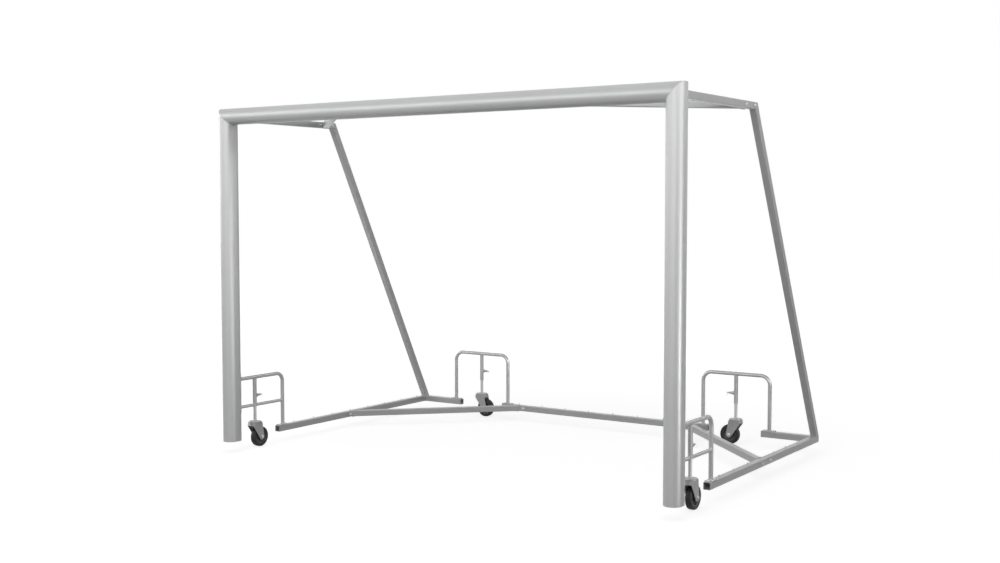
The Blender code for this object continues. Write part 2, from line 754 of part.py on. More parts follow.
def fork(finish):
    """A pressed crown with ball-race beads, and two legs that slant to the axle."""
    top = CROWN_TOP
    low = top - CROWN_DEPTH
    rim = CROWN_RADIUS
    sheet = FORK_SHEET
    hole = KINGPIN / 2 + RUNNING
    profile = [(hole, top)]
    profile += [(rim - inset, top - depth) for inset, depth in CROWN_SIDE]
    profile += [(rim, low), (rim - sheet, low), (CROWN_HOLLOW, top - sheet), (hole, top - sheet)]
    made = new_object("fork", lathe(profile, CROWN_STEPS), finish)
    outer = WHEEL_WIDTH / 2 + FORK_MARGIN + sheet
    slope = FORK_TOP_SPREAD / (low - AXLE_Z)
    shoulder = top - FORK_SHOULDER
    foot = FORK_FOOT_RADIUS
    first = tangent(TRAIL, AXLE_Z, foot, -FORK_FRONT, low, 1) % 360 - 360
    last = tangent(TRAIL, AXLE_Z, foot, FORK_REAR, low, -1)
    outline = [(FORK_REAR - SHOULDER_CUT, shoulder), (SHOULDER_CUT - FORK_FRONT, shoulder), (-FORK_FRONT, low)]
    outline += arc(TRAIL, AXLE_Z, foot, first, last, 8)
    outline.append((FORK_REAR, low))
    legs = []
    for side in (-1, 1):
        normal = (0, side, -slope)
        leg = member([outline, circle(TRAIL, AXLE_Z, AXLE + 2 * RUNNING, 8)], (0, 0, 0), (1, 0, 0), (0, 0, 1),
                     ((0, side * outer, AXLE_Z), normal), ((0, side * (outer - sheet), AXLE_Z), normal))
        legs.append(new_object("leg", leg, finish))
    return combine(made, "UNION", *legs)


def wheel_core(finish):
    hub = WHEEL_WIDTH / 2 + HUB_MARGIN
    bore = AXLE / 2 + RUNNING
    rim = WHEEL_WIDTH / 2 - RIM_SETBACK
    inside = RIM_RADIUS - RIM_LIP
    half = [
        (bore, hub), (HUB_RADIUS, hub), (HUB_RADIUS + HUB_FILLET, WEB / 2),
        (inside - RIM_SLOPE, WEB / 2), (inside, rim), (RIM_RADIUS, rim),
    ]
    profile = half + [(radius, -height) for radius, height in reversed(half)]
    return new_object("core", turned(lathe(profile, CROWN_STEPS), 90, "X"), finish)


def tyre(finish):
    """A rubber tread with rounded shoulders. Its flats, not its corners, lie at the wheel's radius."""
    true = 1 / math.cos(math.pi / WHEEL_STEPS)
    seat = (RIM_RADIUS + GAP) * true
    edge = WHEEL_WIDTH / 2
    half = [
        (seat, edge - TYRE_BEAD), (seat + TYRE_WALL, edge), (WHEEL_RADIUS - TREAD_EDGE, edge - EDGE),
        (WHEEL_RADIUS * true, edge - TREAD_SHOULDER),
    ]
    profile = half + [(radius, -height) for radius, height in reversed(half)]
    return new_object("tyre", turned(lathe(profile, WHEEL_STEPS, 0.5), 90, "X"), finish)


def axle_bolt(finish):
    """A through bolt: hexagon head, shank and nut."""
    face = WHEEL_WIDTH / 2 + FORK_MARGIN + FORK_SHEET + 2 * RUNNING
    head = rod((0, -face - AXLE_HEAD_HEIGHT, 0), (0, -face, 0), AXLE_HEAD, 6)
    nut = rod((0, face, 0), (0, face + AXLE_HEAD_HEIGHT, 0), AXLE_HEAD, 6)
    tail = face + AXLE_HEAD_HEIGHT + AXLE_TAIL
    shank = rod((0, -face - AXLE_HEAD_HEIGHT / 2, 0), (0, tail, 0), AXLE, 8)
    made = new_object("bolt", shank, finish)
    return combine(made, "UNION", new_object("head", head, finish), new_object("nut", nut, finish))


# Index plungers: drawn along +X from the sleeve's axis

def plunger_housing(finish):
    """A conical body on the sleeve, bored for the pin, its root coped to the sleeve."""
    bore = PIN / 2 + RUNNING
    root = HOUSING_ROOT / 2
    tip = HOUSING_TIP / 2
    start = SLEEVE / 4
    profile = [
        (bore, start), (root, start), (root, HOUSING_SHOULDER), (root - EDGE, HOUSING_SHOULDER + EDGE),
        (tip, HOUSING_END - HOUSING_LIP), (tip, HOUSING_END), (bore, HOUSING_END),
    ]
    made = new_object("housing", turned(lathe(profile, PLUNGER_STEPS), 90, "Y"), finish)
    return combine(made, "DIFFERENCE", new_object("sleeve_cutter", sleeve_cutter(), finish))


def index_pin(finish):
    """The sprung pin: nose in the stem's slot, body in the housing, knob and a flat tang with a hole."""
    nose = STEM / 2 - INDEX_SLOT_DEPTH + INDEX_PLAY
    step = SLEEVE / 2 + PIN_SHOULDER
    knob = HOUSING_END + RUNNING
    eye = ring_place()
    knob_end = eye - TANG_LENGTH / 2
    profile = [
        (0, nose), (INDEX_NOSE / 2, nose), (INDEX_NOSE / 2, step), (PIN / 2, step), (PIN / 2, knob),
        (PIN_KNOB / 2, knob), (PIN_KNOB / 2, knob_end - EDGE), (PIN_KNOB / 2 - EDGE, knob_end),
        (0, knob_end),
    ]
    made = new_object("pin", turned(lathe(profile, PLUNGER_STEPS), 90, "Y"), finish)
    half = PLUNGER_REACH - eye
    root = knob_end - TANG_ROOT
    outline = [(root, half), (root, -half)] + arc(eye, 0, half, 270, 450, 6)
    tang = member([outline, circle(eye, 0, RING_HOLE, 8)], (0, 0, 0), (1, 0, 0), (0, 0, 1),
                  ((0, -TANG / 2, 0), (0, 1, 0)), ((0, TANG / 2, 0), (0, 1, 0)))
    return combine(made, "UNION", new_object("tang", tang, finish))


def ring_place():
    return PLUNGER_REACH - TANG_LENGTH / 2


def pull_ring(finish):
    radius = (RING_OUTER - RING_WIRE) / 2
    profile = [(radius + x, y) for x, y in circle(0, 0, RING_WIRE, 5)]
    shape = turned(lathe(profile, ROUND_STEPS), 90, "Y")
    shape.transform(Matrix.Translation((0, 0, -radius)))
    return new_object("ring", shape, finish)


def shared(made):
    """The mesh of a finished shape, to be placed more than once."""
    mesh = made.data
    bpy.data.objects.remove(made)
    smooth(mesh)
    return mesh


def castors(steel, fork_steel, bright, rubber, plastic, goal):
    sleeves = {top: shared(guide_sleeve(top, steel)) for top in (BRACKET_TOP, HOOP_TOP)}
    meshes = {
        "stem": shared(stem(steel)),
        "fork": shared(fork(fork_steel)),
        "core": shared(wheel_core(plastic)),
        "tyre": shared(tyre(rubber)),
        "bolt": shared(axle_bolt(bright)),
        "housing": shared(plunger_housing(steel)),
        "pin": shared(index_pin(bright)),
        "ring": shared(pull_ring(bright)),
    }
    places = (
        ("front_left", -SIDE_X, SLEEVE_FROM_POST, 90, BRACKET_TOP),
        ("front_right", SIDE_X, SLEEVE_FROM_POST, 90, BRACKET_TOP),
        ("rear_left", -HOOP_CENTRE, REAR_AXIS, 0, HOOP_TOP),
        ("rear_right", HOOP_CENTRE, REAR_AXIS, 180, HOOP_TOP),
    )
    for name, x, y, heading, rail_top in places:
        place("guide_sleeve_" + name, sleeves[rail_top], (x, y, 0), heading, goal)
        post = place("castor_stem_" + name, meshes["stem"], (x, y, 0), heading, goal)
        swivel = place("castor_fork_" + name, meshes["fork"], parent=post)
        place("axle_bolt_" + name, meshes["bolt"], (TRAIL, 0, AXLE_Z), parent=swivel)
        wheel = place("wheel_core_" + name, meshes["core"], (TRAIL, 0, AXLE_Z), parent=swivel)
        place("tyre_" + name, meshes["tyre"], parent=wheel)
        housing = place("plunger_housing_" + name, meshes["housing"], (x, y, PLUNGER_Z), heading, goal)
        pin = place("index_pin_" + name, meshes["pin"], parent=housing)
        place("pull_ring_" + name, meshes["ring"], (ring_place(), 0, 0), parent=pin)


def build():
    for old in list(bpy.data.objects):
        bpy.data.objects.remove(old)
    extrusion = material("satin_extrusion", (0.62, 0.63, 0.64), 0.85, 0.42)
    tube = material("satin_tube", (0.56, 0.57, 0.57), 0.80, 0.45)
    steel = material("zinc_steel", (0.60, 0.61, 0.61), 0.75, 0.40)
    fork_steel = material("pressed_zinc_steel", (0.52, 0.53, 0.53), 0.75, 0.42)
    bright = material("bright_zinc", (0.74, 0.75, 0.75), 0.90, 0.28)
    rubber = material("black_rubber", (0.025, 0.025, 0.026), 0.0, 0.65)
    plastic = material("grey_core_plastic", (0.09, 0.09, 0.09), 0.0, 0.50)
    plug = material("black_plug_plastic", (0.04, 0.04, 0.04), 0.0, 0.55)
    cast = material("cast_aluminium", (0.55, 0.56, 0.57), 0.80, 0.55)

    goal = bpy.data.objects.new("goal_frame", None)
    bpy.context.scene.collection.objects.link(goal)
    goal.location = (0, POST_Y, WHEEL_DROP)

    posts(extrusion, plug, cast, goal)
    crossbar(extrusion, goal)
    upper_side_tubes(tube, goal)
    upper_braces(tube, goal)
    stanchions(tube, goal)
    ground_side_tubes(tube, goal)
    rear_tubes(tube, goal)
    ground_braces(tube, goal)
    front_brackets(steel, goal)
    rear_hoops(steel, goal)
    for made in goal.children:
        smooth(made.data)
    castors(steel, fork_steel, bright, rubber, plastic, goal)


build()
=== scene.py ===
# Looks of a small-field soccer goal on retractable castors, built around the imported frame.
# Metres, +Z up, +Y to the back of the goal. Pieces are drawn from the middle of the goal line,
# at the foot of the posts, and moved into the frame's own place as they are made.
import math

import bmesh
import bpy
from mathutils import Matrix, Vector
from mathutils.geometry import tessellate_polygon


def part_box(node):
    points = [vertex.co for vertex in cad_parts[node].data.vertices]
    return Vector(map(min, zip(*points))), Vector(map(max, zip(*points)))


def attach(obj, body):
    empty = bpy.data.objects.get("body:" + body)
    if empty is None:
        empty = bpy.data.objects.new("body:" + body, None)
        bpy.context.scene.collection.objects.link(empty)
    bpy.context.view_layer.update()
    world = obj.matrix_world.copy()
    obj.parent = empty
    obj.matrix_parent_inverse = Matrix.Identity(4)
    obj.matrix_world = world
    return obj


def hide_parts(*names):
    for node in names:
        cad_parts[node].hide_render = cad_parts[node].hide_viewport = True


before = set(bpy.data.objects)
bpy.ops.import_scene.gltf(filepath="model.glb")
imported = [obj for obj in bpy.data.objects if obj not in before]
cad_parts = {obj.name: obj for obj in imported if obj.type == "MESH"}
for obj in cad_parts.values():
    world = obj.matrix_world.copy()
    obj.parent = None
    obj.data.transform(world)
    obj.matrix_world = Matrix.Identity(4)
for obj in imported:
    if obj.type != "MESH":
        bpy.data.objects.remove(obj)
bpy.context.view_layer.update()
print("frame loaded:", len(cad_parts), "nodes")

# Layout shared by several pieces. It repeats the frame's sizes, so a change goes there first
goal = {
    "mouthWidth": 3.000, "mouthHeight": 2.000, "postWidth": 0.100, "postDepth": 0.120,
    "tube": 0.040, "tubeWall": 0.0025, "tubeCorner": 0.003, "tubeInside": 0.0008,
    "sideInset": 0.005, "upperDrop": 0.006, "upperReach": 0.969, "groundReach": 2.027,
    "rearAxis": 2.012, "sideTubeFront": 0.400, "rearStub": 0.350, "rearGap": 0.373,
    "gap": 0.0003, "brokenEdge": 0.0006, "plateEdge": 0.0005,
}
postX = (goal["mouthWidth"] + goal["postWidth"]) / 2
barZ = goal["mouthHeight"] + goal["postWidth"] / 2
postBack = goal["postDepth"] / 2
tube, gap, rearAxis, brokenEdge = goal["tube"], goal["gap"], goal["rearAxis"], goal["brokenEdge"]
sideX = postX - goal["sideInset"]
sideInner = sideX - tube / 2
stubEnd = sideX - goal["rearStub"]
centreEnd = stubEnd - goal["rearGap"]
upperZ = barZ - goal["upperDrop"]
groundZ = tube / 2
lean = Vector((0, goal["groundReach"] - goal["upperReach"], groundZ - upperZ)).normalized()
stanchionUp = Vector((0, -lean.z, lean.y))
stanchionTop = Vector((0, goal["upperReach"], upperZ))
sides = (("left", -1), ("right", 1))
xAxis, yAxis, zAxis = Vector((1, 0, 0)), Vector((0, 1, 0)), Vector((0, 0, 1))
tiny = 1e-7  # points nearer than this are one
creaseAngle = 32  # degrees between two faces from which their edge is sharp

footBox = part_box("post_right")
toFrame = Matrix.Translation((0, (footBox[0].y + footBox[1].y) / 2, footBox[0].z))


# Outlines, which are lists of (x, y) anticlockwise, and rings of points

def arc(x, y, radius, start, end, steps):
    angles = [math.radians(start + (end - start) * i / steps) for i in range(steps + 1)]
    return [(x + radius * math.cos(t), y + radius * math.sin(t)) for t in angles]


def circle(diameter, steps, x=0.0, y=0.0):
    return arc(x, y, diameter / 2, 0, 360, steps)[:-1]


def roundedBox(width, height, radius, steps=5, x=0.0):
    # a short flat next to each corner keeps the shading of the wide faces flat
    flat = min(brokenEdge, radius)
    points = []
    for sx, sy, turn in ((-1, -1, 180), (1, -1, 270), (1, 1, 0), (-1, 1, 90)):
        corner = arc(sx * (width / 2 - radius), sy * (height / 2 - radius), radius, turn, turn + 90, steps)
        start, end = math.radians(turn), math.radians(turn + 90)
        into = Vector((math.sin(start), -math.cos(start))) * flat
        out = Vector((-math.sin(end), math.cos(end))) * flat
        points += [tuple(Vector(corner[0]) + into)] + corner + [tuple(Vector(corner[-1]) + out)]
    return [(px + x, py) for px, py in points]


def inset(loop, depth):
    # the outline drawn in by a depth, corner by corner
    drawn = []
    for before, point, after in zip(loop[-1:] + loop[:-1], loop, loop[1:] + loop[:1]):
        into, out = Vector(point) - Vector(before), Vector(after) - Vector(point)
        a, b = Vector((-into.y, into.x)).normalized(), Vector((-out.y, out.x)).normalized()
        mean = (a + b).normalized()
        drawn.append(tuple(Vector(point) + mean * depth / max(mean.dot(a), 0.3)))  # sharp corners stay short
    return drawn


def turns(steps, shift=0.0):
    return [2 * math.pi * (i + shift) / steps for i in range(steps)]


def level(radius, height, steps, shift=0.0):
    # a ring of points round Z at a height
    return [Vector((radius * math.cos(t), radius * math.sin(t), height)) for t in turns(steps, shift)]


def ringPath(centre, across, up, radius, steps=40):
    return [centre + (across * math.cos(t) + up * math.sin(t)) * radius for t in turns(steps)]


# Meshes: each shape is a bmesh whose "grain" UV runs round (u) and along (v) in metres

def newShape():
    shape = bmesh.new()
    shape.loops.layers.uv.new("grain")
    return shape


def skin(shape, rows):
    # joins rows of points with faces; a row of one repeated point is a pole
    grain = shape.loops.layers.uv["grain"]
    rows = [[Vector(p) for p in row] for row in rows]
    made = []
    for row in rows:
        if (row[0] - row[len(row) // 2]).length < tiny and (row[0] - row[1]).length < tiny:
            made.append([shape.verts.new(row[0])] * len(row))
        else:
            made.append([shape.verts.new(p) for p in row])
    widest = max(rows, key=lambda row: sum((a - b).length for a, b in zip(row, row[1:])))
    around = [0.0]
    for a, b in zip(widest, widest[1:] + widest[:1]):
        around.append(around[-1] + (b - a).length)
    v = 0.0
    count = len(rows[0])
    for k in range(len(rows) - 1):
        step = sum((b - a).length for a, b in zip(rows[k], rows[k + 1])) / count
        for i in range(count):
            j = (i + 1) % count
            corners = []
            for corner in ((made[k][i], i, v), (made[k][j], i + 1, v),
                           (made[k + 1][j], i + 1, v + step), (made[k + 1][i], i, v + step)):
                if all(corner[0] is not other[0] for other in corners):
                    corners.append(corner)
            if len(corners) < 3:
                continue
            face = shape.faces.new([corner[0] for corner in corners])
            for loop, corner in zip(face.loops, corners):
                loop[grain].uv = (around[corner[1]], corner[2])
        v += step
    return made


def skinLoop(shape, rows):
    made = skin(shape, rows + [rows[0]])
    bmesh.ops.remove_doubles(shape, verts=made[0] + made[-1], dist=tiny)


def lid(shape, rows, loops):
    # a flat end between an outline and its holes
    grain = shape.loops.layers.uv["grain"]
    corners = [vert for row in rows for vert in row]
    flat = [point for loop in loops for point in loop]
    for triangle in tessellate_polygon([[Vector((x, y, 0)) for x, y in loop] for loop in loops]):
        face = shape.faces.new([corners[i] for i in triangle])
        for loop, i in zip(face.loops, triangle):
            loop[grain].uv = flat[i]


def planeCut(base, across, up, point, normal):
    # the length at which a line through (x, y) of a section meets a plane
    base, point, normal = Vector(base), Vector(point), Vector(normal)
    along = across.cross(up)
    return lambda x, y: (point - base - across * x - up * y).dot(normal) / along.dot(normal)


def section(shape, loops, base, across, up, startAt, endAt, bevel=0.0):
    # a straight bar from one length or cut to another: the first loop is its outline, the rest are holes
    base = Vector(base)
    along = across.cross(up)

    def row(loop, at, shift=0.0):
        return [base + across * x + up * y + along * ((at(x, y) if callable(at) else at) + shift)
                for x, y in loop]
    outline, holes = loops[0], loops[1:]
    rows = [row(outline, startAt), row(outline, endAt)]
    if bevel:
        outline = inset(loops[0], bevel)
        rows = [row(outline, startAt), row(loops[0], startAt, bevel), row(loops[0], endAt, -bevel),
                row(outline, endAt)]
    skins = [skin(shape, rows)]
    skins += [skin(shape, [row(hole, startAt), row(hole, endAt)]) for hole in holes]
    for end in (0, -1):
        lid(shape, [rows[end] for rows in skins], [outline] + holes)


def plate(shape, loops, centre, across, up, thickness):
    # a flat plate from its near face, through its thickness along across x up
    section(shape, loops, centre, across, up, 0, thickness, goal["plateEdge"])


def rod(shape, start, end, diameter, steps=24, bevel=0.0):
    start, end = Vector(start), Vector(end)
    along = (end - start).normalized()
    across = along.orthogonal().normalized()
    up = along.cross(across)
    section(shape, [circle(diameter, steps)], start, across, up, 0, (end - start).length, bevel)


def bent(points, radius, steps=14):
    # a path with its square inner corners rounded
    points = [Vector(p) for p in points]
    path = [points[0]]
    for before, corner, after in zip(points, points[1:], points[2:]):
        into, out = (corner - before).normalized(), (after - corner).normalized()
        centre = corner + (out - into) * radius
        for i in range(steps + 1):
            turn = math.pi / 2 * i / steps
            path.append(centre - out * radius * math.cos(turn) + into * radius * math.sin(turn))
    path.append(points[-1])
    return path


def sweep(shape, path, sizes, sides, closed=False):
    # a round bar along a path, of one radius a point, with flat lids or closed into a loop
    count = len(path)
    across = None
    rows = []
    for i, (point, size) in enumerate(zip(path, sizes)):
        before = path[i - 1] if (i or closed) else point
        after = path[(i + 1) % count] if (i < count - 1 or closed) else point
        tangent = (after - before).normalized()
        across = across or tangent.orthogonal().normalized()
        across = (across - tangent * across.dot(tangent)).normalized()
        rows.append(ringPath(point, across, tangent.cross(across), size, sides))
    if closed:
        skinLoop(shape, rows)
        return
    made = skin(shape, rows)
    for end in (0, -1):
        lid(shape, [made[end]], [circle(2 * sizes[0], sides)])


def lathe(shape, profile, steps, turn=0.0, matrix=None):
    # turns (radius, height) points round Z; a profile that doesn't start on the axis closes on itself
    rows = [level(radius, height, steps, turn) for radius, height in profile]
    if matrix:
        rows = [[matrix @ p for p in row] for row in rows]
    (skinLoop if profile[0][0] > 0 else skin)(shape, rows)


weld = {
    "size": 0.0028, "ripple": 0.14, "pitch": 0.0032, "steps": 4, "wander": 0.35, "wanderRate": 0.37,
    "sides": 7, "proud": 0.0006, "sunk": 0.0002,
    "railFoot": 0.0024, "railEnd": 0.0022, "sleeve": 0.0021,
}


def bead(shape, path, size=weld["size"]):
    # a weld bead: a thin bar round the joint, swelling a little at each stitch
    path = [Vector(p) for p in path]
    steps, wander, rate = weld["steps"], weld["wander"], weld["wanderRate"]
    step = weld["pitch"] / steps
    points = [path[0]]
    at = step
    for a, b in zip(path, path[1:] + path[:1]):
        length = (b - a).length
        while at < length:
            points.append(a.lerp(b, at / length))
            at += step
        at -= length
    stitches = [math.sin(2 * math.pi * i / steps + wander * math.sin(i * rate)) for i in range(len(points))]
    sweep(shape, points, [size * (1 + weld["ripple"] * s) for s in stitches], weld["sides"], True)


def turned(angle, axis, size=4):
    return Matrix.Rotation(math.radians(angle), size, axis)


def aimed(position, direction, spin):
    # places a shape drawn along +Z so that it points in a direction
    turn = zAxis.rotation_difference(Vector(direction)).to_matrix().to_4x4()
    return Matrix.Translation(position) @ turn @ turned(spin, "Z")


def addObject(name, data):
    made = bpy.data.objects.new(name, data)
    bpy.context.scene.collection.objects.link(made)
    return made


def toMesh(name, shape):
    bmesh.ops.recalc_face_normals(shape, faces=shape.faces)
    mesh = bpy.data.meshes.new(name)
    shape.to_mesh(mesh)
    shape.free()
    return mesh


def keepMesh(name, shape, finish, sharp=creaseAngle):
    mesh = toMesh(name, shape)
    mesh.shade_smooth()
    mesh.set_sharp_from_angle(angle=math.radians(sharp))
    mesh.materials.append(finish)
    return mesh


def placePiece(name, mesh, body, nodes, matrix=None):
    piece = addObject(name, mesh)
    if matrix is not None:
        piece.matrix_world = matrix
    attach(piece, body)
    if nodes:
        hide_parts(*nodes)


def makePiece(name, shape, finish, nodes=()):
    # a finished piece of the fixed frame
    mesh = keepMesh(name, shape, finish)
    mesh.transform(toFrame)
    placePiece(name, mesh, "frame", nodes)


# Shared shader effects

def feed(tree, socket, value):
    # joins an output to a socket, or sets the socket to a plain value
    if isinstance(value, bpy.types.NodeSocket):
        tree.links.new(value, socket)
    else:
        socket.default_value = value


def node(tree, kind, settings=None, **values):
    made = tree.nodes.new("ShaderNode" + kind)
    for key, value in (settings or {}).items():
        setattr(made, key, value)
    for key, value in values.items():
        feed(tree, made.inputs[key.replace("_", " ")], value)
    return made


def placeGroup(tree, group, **values):
    return node(tree, "Group", {"node_tree": group}, **values).outputs


def maths(tree, operation, a, b, clamp=False):
    made = node(tree, "Math", {"operation": operation, "use_clamp": clamp})
    feed(tree, made.inputs[0], a)
    feed(tree, made.inputs[1], b)
    return made.outputs[0]


def times(tree, a, b, clamp=False):
    return maths(tree, "MULTIPLY", a, b, clamp)


def plus(tree, a, b, clamp=False):
    return maths(tree, "ADD", a, b, clamp)


def mapped(tree, value, fromLow, fromHigh, toLow, toHigh):
    limits = {"From_Min": fromLow, "From_Max": fromHigh, "To_Min": toLow, "To_Max": toHigh}
    return node(tree, "MapRange", Value=value, **limits).outputs["Result"]


def mixColour(tree, factor, a, b):
    made = node(tree, "Mix", {"data_type": "RGBA"})
    for i, value in ((0, factor), (6, a), (7, b)):
        feed(tree, made.inputs[i], value)
    return made.outputs[2]


def newGroup(name, inputs, outputs):
    # a group of plain numbers, with the sockets that it is given and those that it gives
    group = bpy.data.node_groups.new(name, "ShaderNodeTree")
    for socket, value in inputs.items():
        made = group.interface.new_socket(socket, in_out="INPUT", socket_type="NodeSocketFloat")
        made.default_value = value
    for socket in outputs:
        group.interface.new_socket(socket, in_out="OUTPUT", socket_type="NodeSocketFloat")
    return group, group.nodes.new("NodeGroupInput").outputs, group.nodes.new("NodeGroupOutput").inputs


def drawnGrainGroup():
    # fine die lines along a bar, from its grain UV: a tone about 0.5 and a height
    inputs = {"Lines per metre": 900.0, "Stretch": 0.004}
    group, given, gives = newGroup("drawnGrain", inputs, ["Tone", "Height"])
    uv = node(group, "UVMap", {"uv_map": "grain"})
    parts = node(group, "SeparateXYZ", Vector=uv.outputs[0]).outputs
    across = times(group, parts[0], given[0])
    along = times(group, times(group, parts[1], given[0]), given[1])
    joined = node(group, "CombineXYZ", X=across, Y=along).outputs[0]
    fine = node(group, "TexNoise", Vector=joined, Scale=1.0, Detail=3.0, Roughness=0.6).outputs["Fac"]
    feed(group, gives["Tone"], fine)
    feed(group, gives["Height"], fine)
    return group


def patinaGroup():
    # broad uneven tone of an anodised or galvanised skin, and its smudges
    group, given, gives = newGroup("patina", {"Size": 4.0, "Contrast": 1.0}, ["Tone", "Smudge"])
    place = node(group, "TexCoord").outputs["Object"]
    broad = node(group, "TexNoise", Vector=place, Scale=given[0], Detail=3.0, Roughness=0.55, Distortion=0.3)
    small = node(group, "TexNoise", Vector=place, Detail=4.0, Roughness=0.65, Distortion=0.8)
    feed(group, small.inputs["Scale"], times(group, given[0], 5.0))
    centred = maths(group, "SUBTRACT", broad.outputs["Fac"], 0.5)
    feed(group, gives["Tone"], times(group, centred, given[1]))
    feed(group, gives["Smudge"], mapped(group, small.outputs["Fac"], 0.52, 0.72, 0.0, 1.0))
    return group


def dustGroup():
    # a mask of settled dust: faces that look up, broken by noise
    group, given, gives = newGroup("settledDust", {"Amount": 0.3}, ["Mask"])
    parts = node(group, "SeparateXYZ", Vector=node(group, "NewGeometry").outputs["Normal"]).outputs
    facing = mapped(group, parts[2], 0.35, 0.95, 0.0, 1.0)
    place = node(group, "TexCoord").outputs["Object"]
    speckle = node(group, "TexNoise", Vector=place, Scale=38.0, Detail=5.0, Roughness=0.7).outputs["Fac"]
    broken = mapped(group, speckle, 0.42, 0.7, 0.15, 1.0)
    mask = times(group, times(group, facing, broken), given[0], True)
    feed(group, gives["Mask"], mask)
    return group


def spangleGroup():
    # the tone of crystal patches in a zinc coat
    group, given, gives = newGroup("zincSpangle", {"Scale": 220.0}, ["Tone"])
    place = node(group, "TexCoord").outputs["Object"]
    cells = node(group, "TexVoronoi", {"feature": "F1"}, Vector=place, Scale=given[0])
    feed(group, gives["Tone"], node(group, "SeparateColor", Color=cells.outputs["Color"]).outputs[0])
    return group


drawnGrain, patina, settledDust, spangle = drawnGrainGroup(), patinaGroup(), dustGroup(), spangleGroup()
# shared by the materials: how far the uneven tone takes a colour, what lines, spangle and smudges add to
# the roughness, and how deep the relief is in metres
shading = {
    "drawnSpread": 0.14, "zincSpread": 0.18, "mouldedDark": 0.75, "mouldedPale": 1.3, "lineRough": 0.08,
    "spangleRough": 0.2, "smudgeRough": 0.12, "lineDepth": 0.0004, "stippleDepth": 0.0003,
}


def newMaterial(name, look):
    made = bpy.data.materials.new(name)
    made.use_nodes = True
    shader = made.node_tree.nodes["Principled BSDF"].inputs
    shader["Metallic"].default_value = look.get("metallic", 0.0)
    shader["Specular IOR Level"].default_value = look["specular"]
    return made, made.node_tree, shader


def scaled(colour, factor):
    return (colour[0] * factor, colour[1] * factor, colour[2] * factor, 1.0)


def metalSkin(tree, shader, look, grain, contrast, spread, grainRough, roughness):
    # colour from the grain, the uneven tone and the dust; roughness from the smudges and the grain
    broad = placeGroup(tree, patina, Size=look["patinaSize"], Contrast=look["patina"])
    dusty = placeGroup(tree, settledDust, Amount=look["dust"])
    tone = times(tree, maths(tree, "SUBTRACT", grain, 0.5), contrast)
    tone = plus(tree, plus(tree, tone, broad["Tone"]), 0.5, True)
    colour = mixColour(tree, tone, scaled(look["colour"], 1 - spread), scaled(look["colour"], 1 + spread))
    colour = mixColour(tree, dusty["Mask"], colour, (*look["dustColour"], 1.0))
    feed(tree, shader["Base Color"], colour)
    rough = times(tree, broad["Smudge"], look["smudge"])
    rough = plus(tree, rough, times(tree, grain, grainRough))
    feed(tree, shader["Roughness"], plus(tree, rough, roughness))


def bumped(tree, shader, height, look, distance):
    bump = node(tree, "Bump", Strength=look["bump"], Distance=distance, Height=height)
    feed(tree, shader["Normal"], bump.outputs[0])


def drawnMetal(name, look):
    # extruded or drawn bars: die lines, uneven tone, smudges and a little dust
    made, tree, shader = newMaterial(name, look)
    lines = placeGroup(tree, drawnGrain, Lines_per_metre=look["lines"], Stretch=look["stretch"])
    spread, rough = shading["drawnSpread"], shading["lineRough"]
    smoothest = look["roughness"] - rough / 2
    metalSkin(tree, shader, look, lines["Tone"], look["lineTone"], spread, rough, smoothest)
    bumped(tree, shader, lines["Height"], look, shading["lineDepth"])
    return made


def zincMetal(name, look):
    # plated steel: faint spangle, uneven tone and dust
    made, tree, shader = newMaterial(name, look)
    tone = placeGroup(tree, spangle, Scale=look["spangleScale"])["Tone"]
    contrast, spread = look["spangle"], shading["zincSpread"]
    rough = contrast * shading["spangleRough"]
    metalSkin(tree, shader, look, tone, contrast, spread, rough, look["roughness"])
    return made


def mouldedMaterial(name, look):
    # rubber and plastic: a fine moulded stipple, scuffed and dusty
    made, tree, shader = newMaterial(name, look)
    broad = placeGroup(tree, patina, Size=look["patinaSize"], Contrast=1.0)
    dusty = placeGroup(tree, settledDust, Amount=look["dust"])
    tone = plus(tree, broad["Tone"], 0.5, True)
    dark, pale = [scaled(look["colour"], shading[key]) for key in ("mouldedDark", "mouldedPale")]
    plain = mixColour(tree, tone, dark, pale)
    for mask in (times(tree, broad["Smudge"], look["scuff"]), dusty["Mask"]):
        plain = mixColour(tree, mask, plain, (*look["scuffColour"], 1.0))
    feed(tree, shader["Base Color"], plain)
    rough = times(tree, broad["Smudge"], shading["smudgeRough"])
    feed(tree, shader["Roughness"], plus(tree, rough, look["roughness"]))
    place = node(tree, "TexCoord").outputs["Object"]
    stipple = node(tree, "TexNoise", Vector=place, Scale=look["stipple"], Detail=2.0, Roughness=0.5)
    bumped(tree, shader, stipple.outputs["Fac"], look, shading["stippleDepth"])
    return made


def finishes(make, looks):
    return [make(name, look) for name, look in looks.items()]


postFinish, tubeFinish, bracketFinish = finishes(drawnMetal, {
    "satinExtrusion": {
        "colour": (0.730, 0.735, 0.740), "metallic": 0.08, "specular": 0.4, "roughness": 0.42,
        "lines": 1500.0, "stretch": 0.0016, "lineTone": 0.14, "bump": 0.04,
        "patinaSize": 1.6, "patina": 0.5, "smudge": 0.05, "dust": 0.05, "dustColour": (0.60, 0.60, 0.58),
    },
    "satinTube": {
        "colour": (0.540, 0.545, 0.545), "metallic": 0.06, "specular": 0.6, "roughness": 0.30,
        "lines": 1300.0, "stretch": 0.002, "lineTone": 0.28, "bump": 0.07,
        "patinaSize": 3.0, "patina": 0.7, "smudge": 0.07, "dust": 0.10, "dustColour": (0.58, 0.58, 0.56),
    },
    "bracketTube": {
        "colour": (0.590, 0.595, 0.595), "metallic": 0.15, "specular": 0.7, "roughness": 0.24,
        "lines": 1600.0, "stretch": 0.003, "lineTone": 0.24, "bump": 0.05,
        "patinaSize": 6.0, "patina": 0.6, "smudge": 0.06, "dust": 0.08, "dustColour": (0.58, 0.58, 0.56),
    },
})
